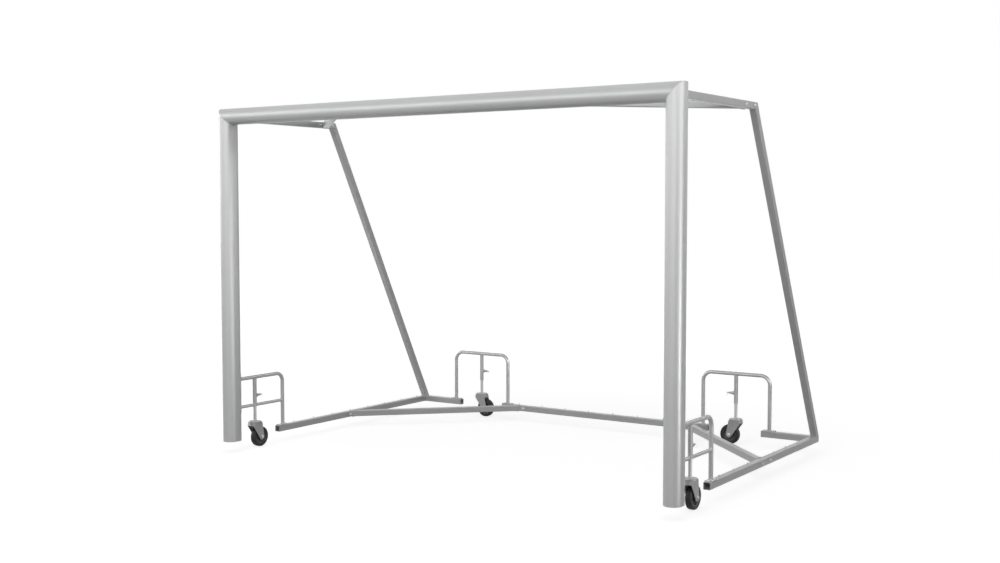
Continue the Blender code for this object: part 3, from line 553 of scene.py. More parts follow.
weldFinish, zincFinish, forkShadedFinish, brightFinish, castFinish = finishes(zincMetal, {
    "weldBead": {
        "colour": (0.480, 0.485, 0.485), "metallic": 0.12, "specular": 0.5, "roughness": 0.42,
        "spangleScale": 900.0, "spangle": 0.3, "patinaSize": 30.0, "patina": 0.8, "smudge": 0.05,
        "dust": 0.05, "dustColour": (0.55, 0.55, 0.53),
    },
    "zincTube": {
        "colour": (0.570, 0.575, 0.570), "metallic": 0.08, "specular": 0.5, "roughness": 0.36,
        "spangleScale": 260.0, "spangle": 0.35, "patinaSize": 9.0, "patina": 0.6, "smudge": 0.08,
        "dust": 0.10, "dustColour": (0.56, 0.56, 0.54),
    },
    # the fork's pressed zinc: its colour is zinc set darker and a little greener than the tubes' zinc, as
    # painted shade and a painted green tint of the dim surroundings it reflects
    "pressedZinc": {
        "colour": (0.450, 0.460, 0.450), "metallic": 0.15, "specular": 0.60, "roughness": 0.28,
        "spangleScale": 300.0, "spangle": 0.4, "patinaSize": 14.0, "patina": 0.8, "smudge": 0.10,
        "dust": 0.12, "dustColour": (0.52, 0.52, 0.50),
    },
    "brightZinc": {
        "colour": (0.700, 0.705, 0.700), "metallic": 0.40, "specular": 0.5, "roughness": 0.27,
        "spangleScale": 700.0, "spangle": 0.15, "patinaSize": 30.0, "patina": 0.4, "smudge": 0.08,
        "dust": 0.04, "dustColour": (0.60, 0.60, 0.58),
    },
    "castInsert": {
        "colour": (0.500, 0.505, 0.510), "metallic": 0.30, "specular": 0.5, "roughness": 0.55,
        "spangleScale": 500.0, "spangle": 0.3, "patinaSize": 12.0, "patina": 0.8, "smudge": 0.05,
        "dust": 0.0, "dustColour": (0.50, 0.50, 0.50),
    },
})
rubberFinish, coreFinish, plugFinish = finishes(mouldedMaterial, {
    "tyreRubber": {
        "colour": (0.014, 0.014, 0.0145), "specular": 0.22, "roughness": 0.56, "stipple": 1600.0,
        "bump": 0.25, "patinaSize": 22.0, "scuff": 0.06, "scuffColour": (0.08, 0.08, 0.076), "dust": 0.04,
    },
    "corePlastic": {
        "colour": (0.060, 0.061, 0.061), "specular": 0.45, "roughness": 0.40, "stipple": 2200.0,
        "bump": 0.15, "patinaSize": 26.0, "scuff": 0.12, "scuffColour": (0.16, 0.16, 0.155), "dust": 0.12,
    },
    "blackPlug": {
        "colour": (0.030, 0.030, 0.031), "specular": 0.4, "roughness": 0.5, "stipple": 1800.0,
        "bump": 0.2, "patinaSize": 18.0, "scuff": 0.08, "scuffColour": (0.12, 0.12, 0.115), "dust": 0.02,
    },
})
print("materials made")


# Fasteners, drawn along +Z from the face they sit on

bolt = {
    "washer": 0.016, "washerHeight": 0.0016, "washerEdge": 0.0003, "acrossFlats": 0.013,
    "headHeight": 0.0053, "shank": 0.008, "nutHeight": 0.0065, "tail": 0.0035, "pitch": 0.00125,
    "threadDepth": 0.0005, "lead": 0.0006,
}
screw = {
    "head": 0.0125, "headHeight": 0.0036, "socket": 0.004, "socketDepth": 0.0018, "taper": 0.97,
    "domeTurns": (0, 14, 28, 42, 54), "domeSwell": 0.8, "socketPoint": 1.15,
}
hexSteps = 36


def hexRing(height, reach, limit=math.inf):
    # a ring round a hexagon whose flats lie at a reach, its corners turned off at a limit
    row = []
    for t in turns(hexSteps):
        within = (t + math.pi / 6) % (math.pi / 3) - math.pi / 6
        out = min(reach / math.cos(within), limit)
        row.append(Vector((out * math.cos(t), out * math.sin(t), height)))
    return row


def hexagon(shape, acrossFlats, low, high, chamferLow, matrix):
    # a hexagon bar whose end corners are turned off, as on a bolt head or nut
    corner, flat = acrossFlats / math.sqrt(3), acrossFlats / 2
    drop = (corner - flat) * 0.5
    # the chamfer bulges: its face is just inside the flats, and its middle is nearer to the corners
    middle, end = flat + (corner - flat) * 0.6, flat * 0.985
    levels = [(low, end), (low + drop * 0.6, middle), (low + drop, corner)] if chamferLow else [(low, corner)]
    levels += [(high - drop, corner), (high - drop * 0.4, middle), (high, end)]
    rows = [hexRing(height, flat, limit) for height, limit in levels]
    made = skin(shape, [[matrix @ p for p in row] for row in rows])
    for i in (0, -1):
        lid(shape, [made[i]], [[(p.x, p.y) for p in rows[i]]])


def washer(shape, matrix, size=bolt["washer"]):
    radius, thick, edge = size / 2, bolt["washerHeight"], bolt["washerEdge"]
    profile = [(0, 0), (radius, 0), (radius, thick - edge), (radius - edge, thick), (0, thick)]
    lathe(shape, profile, 32, matrix=matrix)


def boltHead(shape, position, direction, spin, height=bolt["headHeight"], chamferLow=False):
    matrix = aimed(position, direction, spin)
    washer(shape, matrix)
    base = bolt["washerHeight"]
    hexagon(shape, bolt["acrossFlats"], base, base + height, chamferLow, matrix)
    return matrix


def boltNut(shape, position, direction, spin):
    # a nut with the threaded end of its bolt
    matrix = boltHead(shape, position, direction, spin, bolt["nutHeight"], True)
    radius, pitch, base = bolt["shank"] / 2, bolt["pitch"], bolt["washerHeight"]
    end = base + bolt["nutHeight"] + bolt["tail"]
    thread = [(0, base), (radius, base)]
    for i in range(int((end - base) / pitch)):
        thread += [(radius - bolt["threadDepth"], base + pitch * (i + 0.5)), (radius, base + pitch * (i + 1))]
    lathe(shape, thread + [(radius - bolt["lead"], end), (0, end)], 24, matrix=matrix)


def roundScrew(shape, position, direction, spin):
    # a low round head with a hexagon socket
    matrix = aimed(position, direction, spin)
    socket, depth = screw["socket"] / 2, screw["socketDepth"]
    rows = [[Vector((0, 0, 0))] * hexSteps]
    for turn in [math.radians(angle) for angle in screw["domeTurns"]]:
        top = screw["headHeight"] * math.sin(turn) ** screw["domeSwell"]
        rows.append(level(screw["head"] / 2 * math.cos(turn), top, hexSteps))
    rows += [hexRing(top, socket), hexRing(top - depth, socket * screw["taper"])]
    rows.append([Vector((0, 0, top - depth * screw["socketPoint"]))] * hexSteps)
    skin(shape, [[matrix @ p for p in row] for row in rows])


# Oval extrusion of the posts and the crossbar

extrusion = {
    "wall": 0.003, "mouth": 0.009, "slotWidth": 0.018, "slotDepth": 0.008, "lip": 0.003, "slotWall": 0.0025,
    "steps": 26, "plugHeight": 0.025, "plugFloor": 0.004, "plugWall": 0.0025,
}
flank = (goal["postDepth"] - goal["postWidth"]) / 2


def oval(drawnIn, opening):
    # the oval, open at the back (+y) by half the given width
    radius = goal["postWidth"] / 2 - drawnIn
    leadTurn = math.degrees(math.asin(opening / radius))
    steps = extrusion["steps"]
    points = arc(0, flank, radius, 90 + leadTurn, 180, steps // 2)
    points += arc(0, -flank, radius, 180, 360, steps)
    return points + arc(0, flank, radius, 0, 90 - leadTurn, steps // 2)


def extrusionOutline():
    mouth, half = extrusion["mouth"] / 2, extrusion["slotWidth"] / 2
    lip = postBack - extrusion["lip"]
    floor = lip - extrusion["slotDepth"]
    slot = [(mouth, lip), (half, lip), (half, floor), (-half, floor), (-half, lip), (-mouth, lip)]
    return oval(0, mouth) + slot


def cavityOutline(clearance):
    half = extrusion["slotWidth"] / 2 + extrusion["slotWall"] + clearance
    floor = postBack - extrusion["lip"] - extrusion["slotDepth"] - extrusion["slotWall"] - clearance
    return oval(extrusion["wall"] + clearance, half) + [(half, floor), (-half, floor)]


def makePosts():
    loops = [extrusionOutline(), cavityOutline(0)]
    for name, side in sides:
        shape = newShape()
        section(shape, loops, (side * postX, 0, 0), xAxis, yAxis, 0, lambda x, y: barZ + side * x, brokenEdge)
        makePiece("upright_" + name, shape, postFinish, ["post_" + name])
    seam = gap * math.sqrt(2)
    shape = newShape()
    section(shape, loops, (0, 0, barZ), zAxis, yAxis,
            lambda x, y: seam - postX - x, lambda x, y: postX + x - seam, brokenEdge)
    makePiece("top_bar", shape, postFinish, ["crossbar"])


def makeFootCaps():
    edge = goal["plateEdge"]
    outer, inner = cavityOutline(gap), cavityOutline(gap + extrusion["plugWall"])
    lowEdge = inset(outer, edge)
    levels = ((lowEdge, 0), (outer, edge), (outer, extrusion["plugHeight"]),
              (inner, extrusion["plugHeight"]), (inner, extrusion["plugFloor"]))
    for name, side in sides:
        shape = newShape()
        base = Vector((side * postX, 0, 0))
        shell = skin(shape, [[base + Vector((x, y, z)) for x, y in loop] for loop, z in levels])
        lid(shape, [shell[0]], [lowEdge])
        lid(shape, [shell[-1]], [inner])
        makePiece("foot_cap_" + name, shape, plugFinish, ["foot_plug_" + name])


makePosts()
makeFootCaps()
for name, side in sides:
    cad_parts["corner_insert_" + name].data.materials.clear()
    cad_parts["corner_insert_" + name].data.materials.append(castFinish)
print("goal front made")


# Square tubes of the back and ground frame

inside = tube - 2 * goal["tubeWall"]
squareLoops = [roundedBox(tube, tube, goal["tubeCorner"]), roundedBox(inside, inside, goal["tubeInside"], 2)]


def finely(loop, step=0.0025):
    # the outline with its long flats divided, for an end that is cut to a curve
    points = []
    for a, b in zip(loop, loop[1:] + loop[:1]):
        parts = max(1, math.ceil(math.dist(a, b) / step))
        points += [(a[0] + (b[0] - a[0]) * i / parts, a[1] + (b[1] - a[1]) * i / parts) for i in range(parts)]
    return points


def copeToCorner(side):
    # how far back the upper side tube starts on the mitred corner of post and crossbar
    radius = goal["postWidth"] / 2

    def at(x, y):
        fromPost = side * (side * sideX + y - side * postX)
        fromBar = upperZ + x - barZ
        away = fromPost if fromBar < fromPost else fromBar
        return flank + math.sqrt(max(radius * radius - away * away, 0)) + gap
    return at


def squareTube(name, replaced, base, across, up, startAt, endAt, loops=squareLoops, bevel=brokenEdge):
    shape = newShape()
    section(shape, loops, base, across, up, startAt, endAt, bevel)
    makePiece(name, shape, tubeFinish, [replaced])


def makeBackFrame():
    for name, side in sides:
        base = Vector((side * sideX, 0, upperZ))
        top = stanchionTop + Vector((side * sideX, 0, 0))
        face = top + stanchionUp * tube / 2
        squareTube("top_side_rail_" + name, "upper_side_tube_" + name, base, zAxis, xAxis, copeToCorner(side),
                   planeCut(base, zAxis, xAxis, face, stanchionUp), [finely(loop) for loop in squareLoops])
        squareTube("back_strut_" + name, "stanchion_" + name, top, xAxis, stanchionUp,
                   planeCut(top, xAxis, stanchionUp, (0, 0, upperZ - tube / 2 - gap), zAxis),
                   planeCut(top, xAxis, stanchionUp, (0, 0, tube + gap), zAxis), bevel=0)
        rearEnd = face.y + (face.z - tube) * stanchionUp.z / stanchionUp.y
        squareTube("ground_rail_" + name, "ground_side_tube_" + name, (side * sideX, 0, groundZ),
                   zAxis, xAxis, goal["sideTubeFront"], rearEnd)
        ends = sorted((side * stubEnd, side * (sideInner - gap)))
        squareTube("back_stub_" + name, "rear_stub_" + name, (0, rearAxis, groundZ), yAxis, zAxis, *ends)
    squareTube("back_ground_bar", "rear_centre_bar", (0, rearAxis, groundZ), yAxis, zAxis,
               -centreEnd, centreEnd)


makeBackFrame()
print("back frame made")


# Corner braces with bolted end plates

brace = {
    "upperBack": 0.8805, "groundFront": 1.158, "plateShift": 0.012, "plateLength": 0.160,
    "plateHeight": 0.036, "plate": 0.004, "boltSpan": 0.122, "boltHole": 0.009, "plateCorner": 0.003,
    "weldAround": 0.001,
}


def bracePlate(shape, face, along, normal, shift, height):
    # the end plate, and where its two bolts go through its near face
    along, normal = Vector(along), Vector(normal)
    places = [shift + s * brace["boltSpan"] / 2 for s in (-1, 1)]
    loops = [roundedBox(brace["plateLength"], brace["plateHeight"], brace["plateCorner"], 4, shift)]
    loops += [circle(brace["boltHole"], 20, place) for place in places]
    centre = Vector((face[0], face[1], height)) + normal * gap
    plate(shape, loops, centre, along, normal.cross(along), brace["plate"])
    return [centre + along * place for place in places]


def makeBrace(name, replaced, side, start, end, endNormal, plates, fasteners):
    # a 45 degree tube; each plate has its face, along, normal, shift, height and the depth of a nutted bolt
    start, end, endNormal = Vector(start), Vector(end), Vector(endNormal)
    along = (end - start).normalized()
    up = along.cross(zAxis)
    stand = gap + brace["plate"] - weld["sunk"]
    cuts = (planeCut(start, zAxis, up, start + Vector((-side * stand, 0, 0)), xAxis),
            planeCut(start, zAxis, up, end + endNormal * stand, endNormal))
    shape, welds = newShape(), newShape()
    section(shape, squareLoops, start, zAxis, up, *cuts)
    width = tube + brace["weldAround"]
    outline = roundedBox(width, width, goal["tubeCorner"], 4)
    for at in cuts:
        bead(welds, [start + zAxis * x + up * y + along * at(x, y) for x, y in outline])
    for face, plateAlong, normal, shift, height, depth in plates:
        normal = Vector(normal)
        for point in bracePlate(shape, face, plateAlong, normal, shift, height):
            outside = point + normal * brace["plate"]
            if depth:
                boltNut(fasteners, outside, normal, 12 + 40 * point.y)
                boltHead(fasteners, point - normal * (depth + gap), -normal, 31 * point.y)
            else:
                boltHead(fasteners, outside, normal, 70 * point.x)
    makePiece(name, shape, tubeFinish, [replaced])
    makePiece(name + "_welds", welds, weldFinish)


def makeBraces():
    face = rearAxis - tube / 2
    for name, side in sides:
        fasteners = newShape()
        inner, facing = side * sideInner, (-side, 0, 0)
        start = (inner, brace["upperBack"], upperZ)
        end = (inner - side * (brace["upperBack"] - postBack), postBack, upperZ)
        plates = ((start, yAxis, facing, 0, upperZ, tube), (end, xAxis, yAxis, 0, barZ, 0))
        makeBrace("top_corner_brace_" + name, "upper_brace_" + name, side, start, end, yAxis, plates,
                  fasteners)
        start = (inner, brace["groundFront"], groundZ)
        end = (inner - side * (face - brace["groundFront"]), face, groundZ)
        plates = ((start, yAxis, facing, brace["plateShift"], groundZ, tube),
                  (end, xAxis, (0, -1, 0), 0, groundZ, tube))
        makeBrace("low_corner_brace_" + name, "ground_brace_" + name, side, start, end, (0, -1, 0), plates,
                  fasteners)
        makePiece("brace_bolts_" + name, fasteners, brightFinish)


makeBraces()
print("braces made")


# Net hooks: open pigtails of wire on the ground tubes

hook = {
    "wire": 0.003, "eye": 0.008, "neck": 0.0035, "count": 8, "sideFront": 0.155, "sideRear": 0.106,
    "rearMargin": 0.143, "sunk": 0.0005, "tip": 0.7,
    "foot": ((0, -0.0002), (0.0032, -0.0002), (0.0032, 0.0005), (0.0024, 0.0012), (0, 0.0014)),
}


def hookRow(first, last):
    return [first + (last - first) * i / (hook["count"] - 1) for i in range(hook["count"])]


def makeHooks(name, places, heading):
    shape = newShape()
    radius, wire = hook["eye"] / 2, hook["wire"] / 2
    path = [(0, 0, -hook["sunk"]), (0, 0, hook["neck"] * 0.5)]
    path += [(x, 0, z) for x, z in arc(0, hook["neck"] + radius, radius, -60, 180, 20)]
    sizes = [wire] * (len(path) - 1) + [wire * hook["tip"]]
    spin = turned(heading, "Z", 3)
    for place in places:
        sweep(shape, [spin @ Vector(p) + Vector(place) for p in path], sizes, 12)
        lathe(shape, hook["foot"], 20, matrix=Matrix.Translation(place))
    makePiece("net_hooks_" + name, shape, zincFinish)


for name, side in sides:
    row = hookRow(goal["sideTubeFront"] + hook["sideFront"], rearAxis - hook["sideRear"])
    makeHooks(name, [(side * sideX, y, tube) for y in row], 0)
end = centreEnd - hook["rearMargin"]
makeHooks("back", [(x, rearAxis, tube) for x in hookRow(-end, end)], 90)
print("net hooks made")


# Wheel brackets at the posts and wheel hoops at the back

wheelFrame = {
    "round": 0.025, "lowRail": 0.021, "bracketTop": 0.387, "bracketLeg": 0.4505, "bracketBend": 0.053,
    "fromPost": 0.196, "hoopTop": 0.396, "hoopFromSide": 0.532, "hoopSpan": 0.466, "hoopBend": 0.060,
    "footLength": 0.082, "footWidth": 0.040, "plate": 0.005, "screwSpan": 0.060, "screwHole": 0.007,
    "stripWidth": 0.036, "stripMargin": 0.040, "footCorner": 0.005, "stripCorner": 0.004,
    "sunk": 0.001, "cope": 0.0004,
}
castor = {
    "wheelRadius": 0.065, "wheelWidth": 0.036, "wheelDrop": 0.070, "trail": 0.038, "headStack": 0.040,
    "headRadius": 0.042, "head": 0.005, "axle": 0.010, "kingpin": 0.0164, "kingpinHead": 0.006,
    "running": 0.0005, "retract": 0.010, "sleeve": 0.026, "sleeveBore": 0.0208, "sleeveAboveHead": 0.020,
    "railAboveSleeve": 0.006, "sleeveCope": 0.007, "copeGap": 0.0003, "stem": 0.020, "stemFillet": 0.0025,
    "stemTopClear": 0.0065, "stemAbovePin": 0.020, "slotDepth": 0.0026, "holeDepth": 0.008,
    "nose": 0.006, "play": 0.0006, "edge": 0.0015,
}
hoopCentre = sideX - wheelFrame["hoopFromSide"]
stroke = castor["wheelDrop"] + castor["retract"]
axleZ = castor["wheelRadius"] - castor["wheelDrop"]
headTop = axleZ + castor["wheelRadius"] + castor["headStack"]
sleeveEnd = headTop + stroke + castor["sleeveAboveHead"]
bracketLow = sleeveEnd + castor["railAboveSleeve"]
stemTop = wheelFrame["bracketTop"] - wheelFrame["round"] / 2 - stroke - castor["stemTopClear"]
plungerZ = stemTop - castor["stemAbovePin"]
crownTop = headTop - castor["head"] - castor["running"]
plateTop = tube + gap + wheelFrame["plate"]


def screwedPlate(shape, screws, loop, base, along, up, screwAt, spins):
    # a plate with a row of holes, and a screw in each
    normal = along.cross(up)
    holes = [circle(wheelFrame["screwHole"], 18, at) for at in screwAt]
    plate(shape, [loop] + holes, base, along, up, wheelFrame["plate"])
    for at, spin in zip(screwAt, spins):
        roundScrew(screws, base + along * at + normal * wheelFrame["plate"], normal, spin)


def footPlate(shape, screws, x, y, along):
    half = wheelFrame["screwSpan"] / 2
    loop = roundedBox(wheelFrame["footLength"], wheelFrame["footWidth"], wheelFrame["footCorner"], 6)
    base = Vector((x, y, tube + gap))
    screwedPlate(shape, screws, loop, base, along, zAxis.cross(along), (-half, half), (-17, 17))


def lowRail(shape, x, start, end, startRound, endRound):
    # a rail along +Y, its ends cut to fit round uprights of the given diameters at start and end
    def cope(around, across):
        return math.sqrt(max((around / 2) ** 2 - across * across, 0)) - wheelFrame["cope"] if around else 0.0
    section(shape, [circle(wheelFrame["lowRail"], 32)], (x, 0, bracketLow), zAxis, xAxis,
            lambda px, py: start + cope(startRound, py), lambda px, py: end - cope(endRound, py))


def roundBead(welds, centre, up, diameter, size=weld["size"]):
    bead(welds, ringPath(Vector(centre), xAxis, up, diameter / 2 + weld["proud"]), size)


def copedBead(welds, x, y, upright, facing):
    # the bead where the low rail meets a round upright
    points = []
    for t in turns(40):
        px, pz = wheelFrame["lowRail"] / 2 * math.cos(t), wheelFrame["lowRail"] / 2 * math.sin(t)
        back = facing * math.sqrt(max((upright / 2) ** 2 - px * px, 0))
        points.append((x + px, y + back, bracketLow + pz))
    bead(welds, points, weld["railEnd"])


def makeCarrier(kind, name, replaced, shape, welds, screws):
    makePiece("castor_" + kind + "_" + name, shape, bracketFinish, [replaced])
    makePiece(kind + "_welds_" + name, welds, weldFinish)
    makePiece(kind + "_screws_" + name, screws, brightFinish)


def makeFrontBrackets():
    size, sleeve = wheelFrame["round"], castor["sleeve"]
    top, leg, middle = wheelFrame["bracketTop"], wheelFrame["bracketLeg"], wheelFrame["fromPost"]
    plateFace = postBack + gap + wheelFrame["plate"]
    start, foot = plateFace - wheelFrame["sunk"], plateTop - wheelFrame["sunk"]
    margin = wheelFrame["stripMargin"]
    lowEnd, highEnd = bracketLow - margin, top + margin
    reach = (highEnd - lowEnd - margin) / 2
    screwAt = (-reach, 0, reach)
    for name, side in sides:
        x = side * sideX
        shape, welds, screws = newShape(), newShape(), newShape()
        path = bent([(x, start, top), (x, leg, top), (x, leg, foot)], wheelFrame["bracketBend"])
        sweep(shape, path, [size / 2] * len(path), 36)
        lowRail(shape, x, start, middle, 0, sleeve)
        lowRail(shape, x, middle, leg, sleeve, size)
        footPlate(shape, screws, x, leg, yAxis)
        loop = roundedBox(highEnd - lowEnd, wheelFrame["stripWidth"], wheelFrame["stripCorner"])
        base = Vector((side * postX, postBack + gap, (lowEnd + highEnd) / 2))
        screwedPlate(shape, screws, loop, base, zAxis, xAxis, screwAt, [20 + 300 * at for at in screwAt])
        roundBead(welds, (x, plateFace, top), zAxis, size)
        roundBead(welds, (x, plateFace, bracketLow), zAxis, wheelFrame["lowRail"], weld["railFoot"])
        roundBead(welds, (x, leg, plateTop), yAxis, size)
        for y, upright, facing in ((middle, sleeve, -1), (middle, sleeve, 1), (leg, size, -1)):
            copedBead(welds, x, y, upright, facing)
        makeCarrier("bracket", name, "front_bracket_" + name, shape, welds, screws)


def makeRearHoops():
    foot, top = plateTop - wheelFrame["sunk"], wheelFrame["hoopTop"]
    for name, side in sides:
        shape, welds, screws = newShape(), newShape(), newShape()
        legs = [side * hoopCentre + s * wheelFrame["hoopSpan"] / 2 for s in (-1, 1)]
        corners = [(legs[0], foot), (legs[0], top), (legs[1], top), (legs[1], foot)]
        path = bent([(x, rearAxis, z) for x, z in corners], wheelFrame["hoopBend"])
        sweep(shape, path, [wheelFrame["round"] / 2] * len(path), 36)
        for x in legs:
            footPlate(shape, screws, x, rearAxis, xAxis)
            roundBead(welds, (x, rearAxis, plateTop), yAxis, wheelFrame["round"])
        makeCarrier("hoop", name, "rear_hoop_" + name, shape, welds, screws)


makeFrontBrackets()
makeRearHoops()
print("brackets and hoops made")


# Castors: each piece is drawn once, its stem's axis on Z and its trail towards +X, then placed four times

def cutMesh(mesh, cutters, operation="DIFFERENCE"):
    # cuts a finished mesh with closed shapes, or joins them to it
    target = addObject("cut_target", mesh)
    tools = [addObject("cutter", toMesh("cutter", shape)) for shape in cutters]
    for tool in tools:
        modifier = target.modifiers.new("cut", "BOOLEAN")
        modifier.operation = operation
        modifier.solver = "EXACT"
        modifier.object = tool
    graph = bpy.context.evaluated_depsgraph_get()
    made = bpy.data.meshes.new_from_object(target.evaluated_get(graph))
    made.set_sharp_from_angle(angle=math.radians(creaseAngle))
    for old in [target] + tools:
        bpy.data.objects.remove(old)
    return made


def sleeveMesh(railTop):
    # the guide tube under the rail, its top cut round the rail
    bore, outer, rail = castor["sleeveBore"] / 2, castor["sleeve"] / 2, wheelFrame["round"] / 2
    steps, edge = 48, brokenEdge

    def topRow(radius):
        made = []
        for t in turns(steps):
            x, y = radius * math.cos(t), radius * math.sin(t)
            under = math.sqrt(max(rail * rail - y * y, 0)) - castor["copeGap"]
            made.append(Vector((x, y, railTop - max(castor["sleeveCope"], under))))
        return made
    shape, welds, hole = newShape(), newShape(), newShape()
    skinLoop(shape, [level(bore, sleeveEnd + edge, steps), level(bore + edge, sleeveEnd, steps),
                     level(outer - edge, sleeveEnd, steps), level(outer, sleeveEnd + edge, steps),
                     topRow(outer), topRow(bore)])
    bead(welds, topRow(outer + weld["sunk"]), weld["sleeve"])
    rod(hole, (bore / 2, 0, plungerZ), (castor["sleeve"], 0, plungerZ), castor["nose"] + 2 * castor["play"])
    return cutMesh(keepMesh("sleeve", shape, zincFinish), [hole]), keepMesh("sleeve_weld", welds, weldFinish)


def stemMesh():
    # the sliding stem, its head disc and the kingpin, with the slot and holes for the index pin
    pin, stem, radius = castor["kingpin"] / 2, castor["stem"] / 2, castor["headRadius"]
    edge, fillet = castor["edge"], castor["stemFillet"]
    under = crownTop - fork["sheet"] - castor["running"]
    headLow = under - castor["kingpinHead"]
    discLow = headTop - castor["head"]
    profile = [(0, headLow), (2 * pin - 2 * edge, headLow), (2 * pin - edge / 2, headLow + edge / 2),
               (2 * pin, headLow + edge), (2 * pin, under), (pin, under), (pin, discLow),
               (radius - brokenEdge, discLow), (radius, discLow + brokenEdge)]
    profile += arc(radius - edge, headTop - edge, edge, 0, 90, 4)
    profile += arc(stem + fillet, headTop + fillet, fillet, 270, 180, 4)
    profile += [(stem, stemTop - edge), (stem - edge * 0.3, stemTop - edge * 0.3), (stem - edge, stemTop)]
    shape, slot = newShape(), newShape()
    lathe(shape, profile + [(0, stemTop)], 64)
    half = castor["nose"] / 2 + castor["play"]
    outline = arc(0, plungerZ, half, 0, 180, 12) + arc(0, plungerZ - stroke, half, 180, 360, 12)
    section(slot, [outline], (stem - castor["slotDepth"], 0, 0), yAxis, zAxis, 0, stem)
    cutters = [slot]
    for height in (plungerZ, plungerZ - stroke):
        hole = newShape()
        start, end = (stem - castor["holeDepth"], 0, height), (2 * stem, 0, height)
        rod(hole, start, end, castor["nose"] + castor["play"])
        cutters.append(hole)
    return cutMesh(keepMesh("stem", shape, zincFinish), cutters)


fork = {
    "crownRadius": 0.047, "crownDepth": 0.024, "crownHollow": 0.038, "crownFlat": 0.0055, "sheet": 0.003,
    "topSpread": 0.004, "front": 0.040, "rear": 0.042, "shoulderCut": 0.004, "legTop": 0.0010,
    "legCorner": 0.005, "footRadius": 0.020, "margin": 0.0045,
    # the crown's bead bands: how far each is drawn in, how deep it lies and its half height
    "beads": ((0.0036, 0.0030, 0.0024), (0.0018, 0.0090, 0.0030), (0.0000, 0.0190, 0.0050)),
    "beadCurve": 0.8, "beadSwell": 1.2, "beadSpan": 0.96,
}


def tangentTurn(x, y, radius, px, py, side):
    # the turn at which a line from (px, py) touches a circle
    reach = math.hypot(px - x, py - y)
    return math.degrees(math.atan2(py - y, px - x) + side * math.acos(radius / reach))


def forkMesh():
    # a pressed crown with ball-race beads, flat at its sides, and two legs that slant to the axle
    top, low = crownTop, crownTop - fork["crownDepth"]
    rim, sheet = fork["crownRadius"], fork["sheet"]
    hole = castor["kingpin"] / 2 + castor["running"]
    profile = [(hole, top), (rim - fork["crownFlat"], top)]
    for drawn, depth, half in fork["beads"]:
        for t in [k / 4 for k in range(-4, 5)]:
            swell = (1 - math.sqrt(1 - fork["beadCurve"] * t * t)) * half * fork["beadSwell"]
            profile.append((rim - drawn - swell, top - depth - half * fork["beadSpan"] * t))
    lip = profile[-1][0]
    profile += [(lip, low), (lip - sheet, low), (fork["crownHollow"], top - sheet), (hole, top - sheet)]
    crown = newShape()
    lathe(crown, profile, 96)
    outer = castor["wheelWidth"] / 2 + fork["margin"] + sheet
    slope = fork["topSpread"] / (low - axleZ)
    reach = 2 * rim
    trail, corner = castor["trail"], fork["legCorner"]
    front, rear, cut = fork["front"], fork["rear"], fork["shoulderCut"]
    first = tangentTurn(trail, axleZ, fork["footRadius"], -front, low, 1) - 360
    last = tangentTurn(trail, axleZ, fork["footRadius"], rear, low, -1)
    shoulder = top - fork["legTop"] - corner
    outline = arc(rear - cut - corner, shoulder, corner, 0, 90, 6)
    outline += arc(cut + corner - front, shoulder, corner, 90, 180, 6) + [(-front, low)]
    outline += arc(trail, axleZ, fork["footRadius"], first, last, 24) + [(rear, low)]
    hub = circle(castor["axle"] + 2 * castor["running"], 24, trail, axleZ)
    flats, legs = [], []
    for side in (-1, 1):
        flat, leg = newShape(), newShape()
        heights = (low - sheet, top + sheet)
        faces = [side * (outer - sheet / 2 + slope * (z - axleZ)) for z in heights]
        away = [(faces[0], heights[0]), (side * reach, heights[0]), (side * reach, heights[1]),
                (faces[1], heights[1])]
        section(flat, [away[::side]], (-reach, 0, 0), yAxis, zAxis, 0, 2 * reach)
        flats.append(flat)
        normal = (0, side, -slope)
        near = planeCut((0, 0, 0), xAxis, zAxis, (0, side * (outer - sheet), axleZ), normal)
        far = planeCut((0, 0, 0), xAxis, zAxis, (0, side * outer, axleZ), normal)
        ends = (near, far) if side < 0 else (far, near)
        section(leg, [outline, hub], (0, 0, 0), xAxis, zAxis, *ends, bevel=goal["plateEdge"])
        legs.append(leg)
    return cutMesh(cutMesh(keepMesh("fork", crown, forkShadedFinish), flats), legs, "UNION")


# Wheel, drawn from its own centre with the axle along Y
wheel = {
    "hub": 0.0125, "hubMargin": 0.003, "rim": 0.0458, "rimLip": 0.0045, "rimSlope": 0.0025,
    "rimSetback": 0.0025, "web": 0.012, "edge": 0.0008, "rimEdge": 0.0004, "ribs": 10, "rib": 0.0016,
    "ribHeight": 0.0062, "ribSunk": 0.001, "ribDip": 0.0012, "ribRise": 0.0015, "ribBend": 0.72,
    "shoulder": 0.0062, "crownEdge": 0.0003, "sideEdge": 0.0006, "treadFlat": 0.0040,
    # the rounded corners of the web: how far out from the hub or the rim's foot, and how far up
    "hubCorner": ((0.0012, 0.0025), (0.0025, 0.0006), (0.0045, 0)), "rimCorner": ((-0.002, 0), (0, 0.0012)),
    # the tyre's side from the rim outwards: how far out, and how far in from its widest
    "tyreSide": ((0, 0.0030), (0.0010, 0.0016), (0.0030, 0.0004), (0.0060, 0), (0.0085, 0.0001),
                 (0.0092, 0.0006), (0.0100, 0.0005)),
}
toAxle = turned(90, "X")


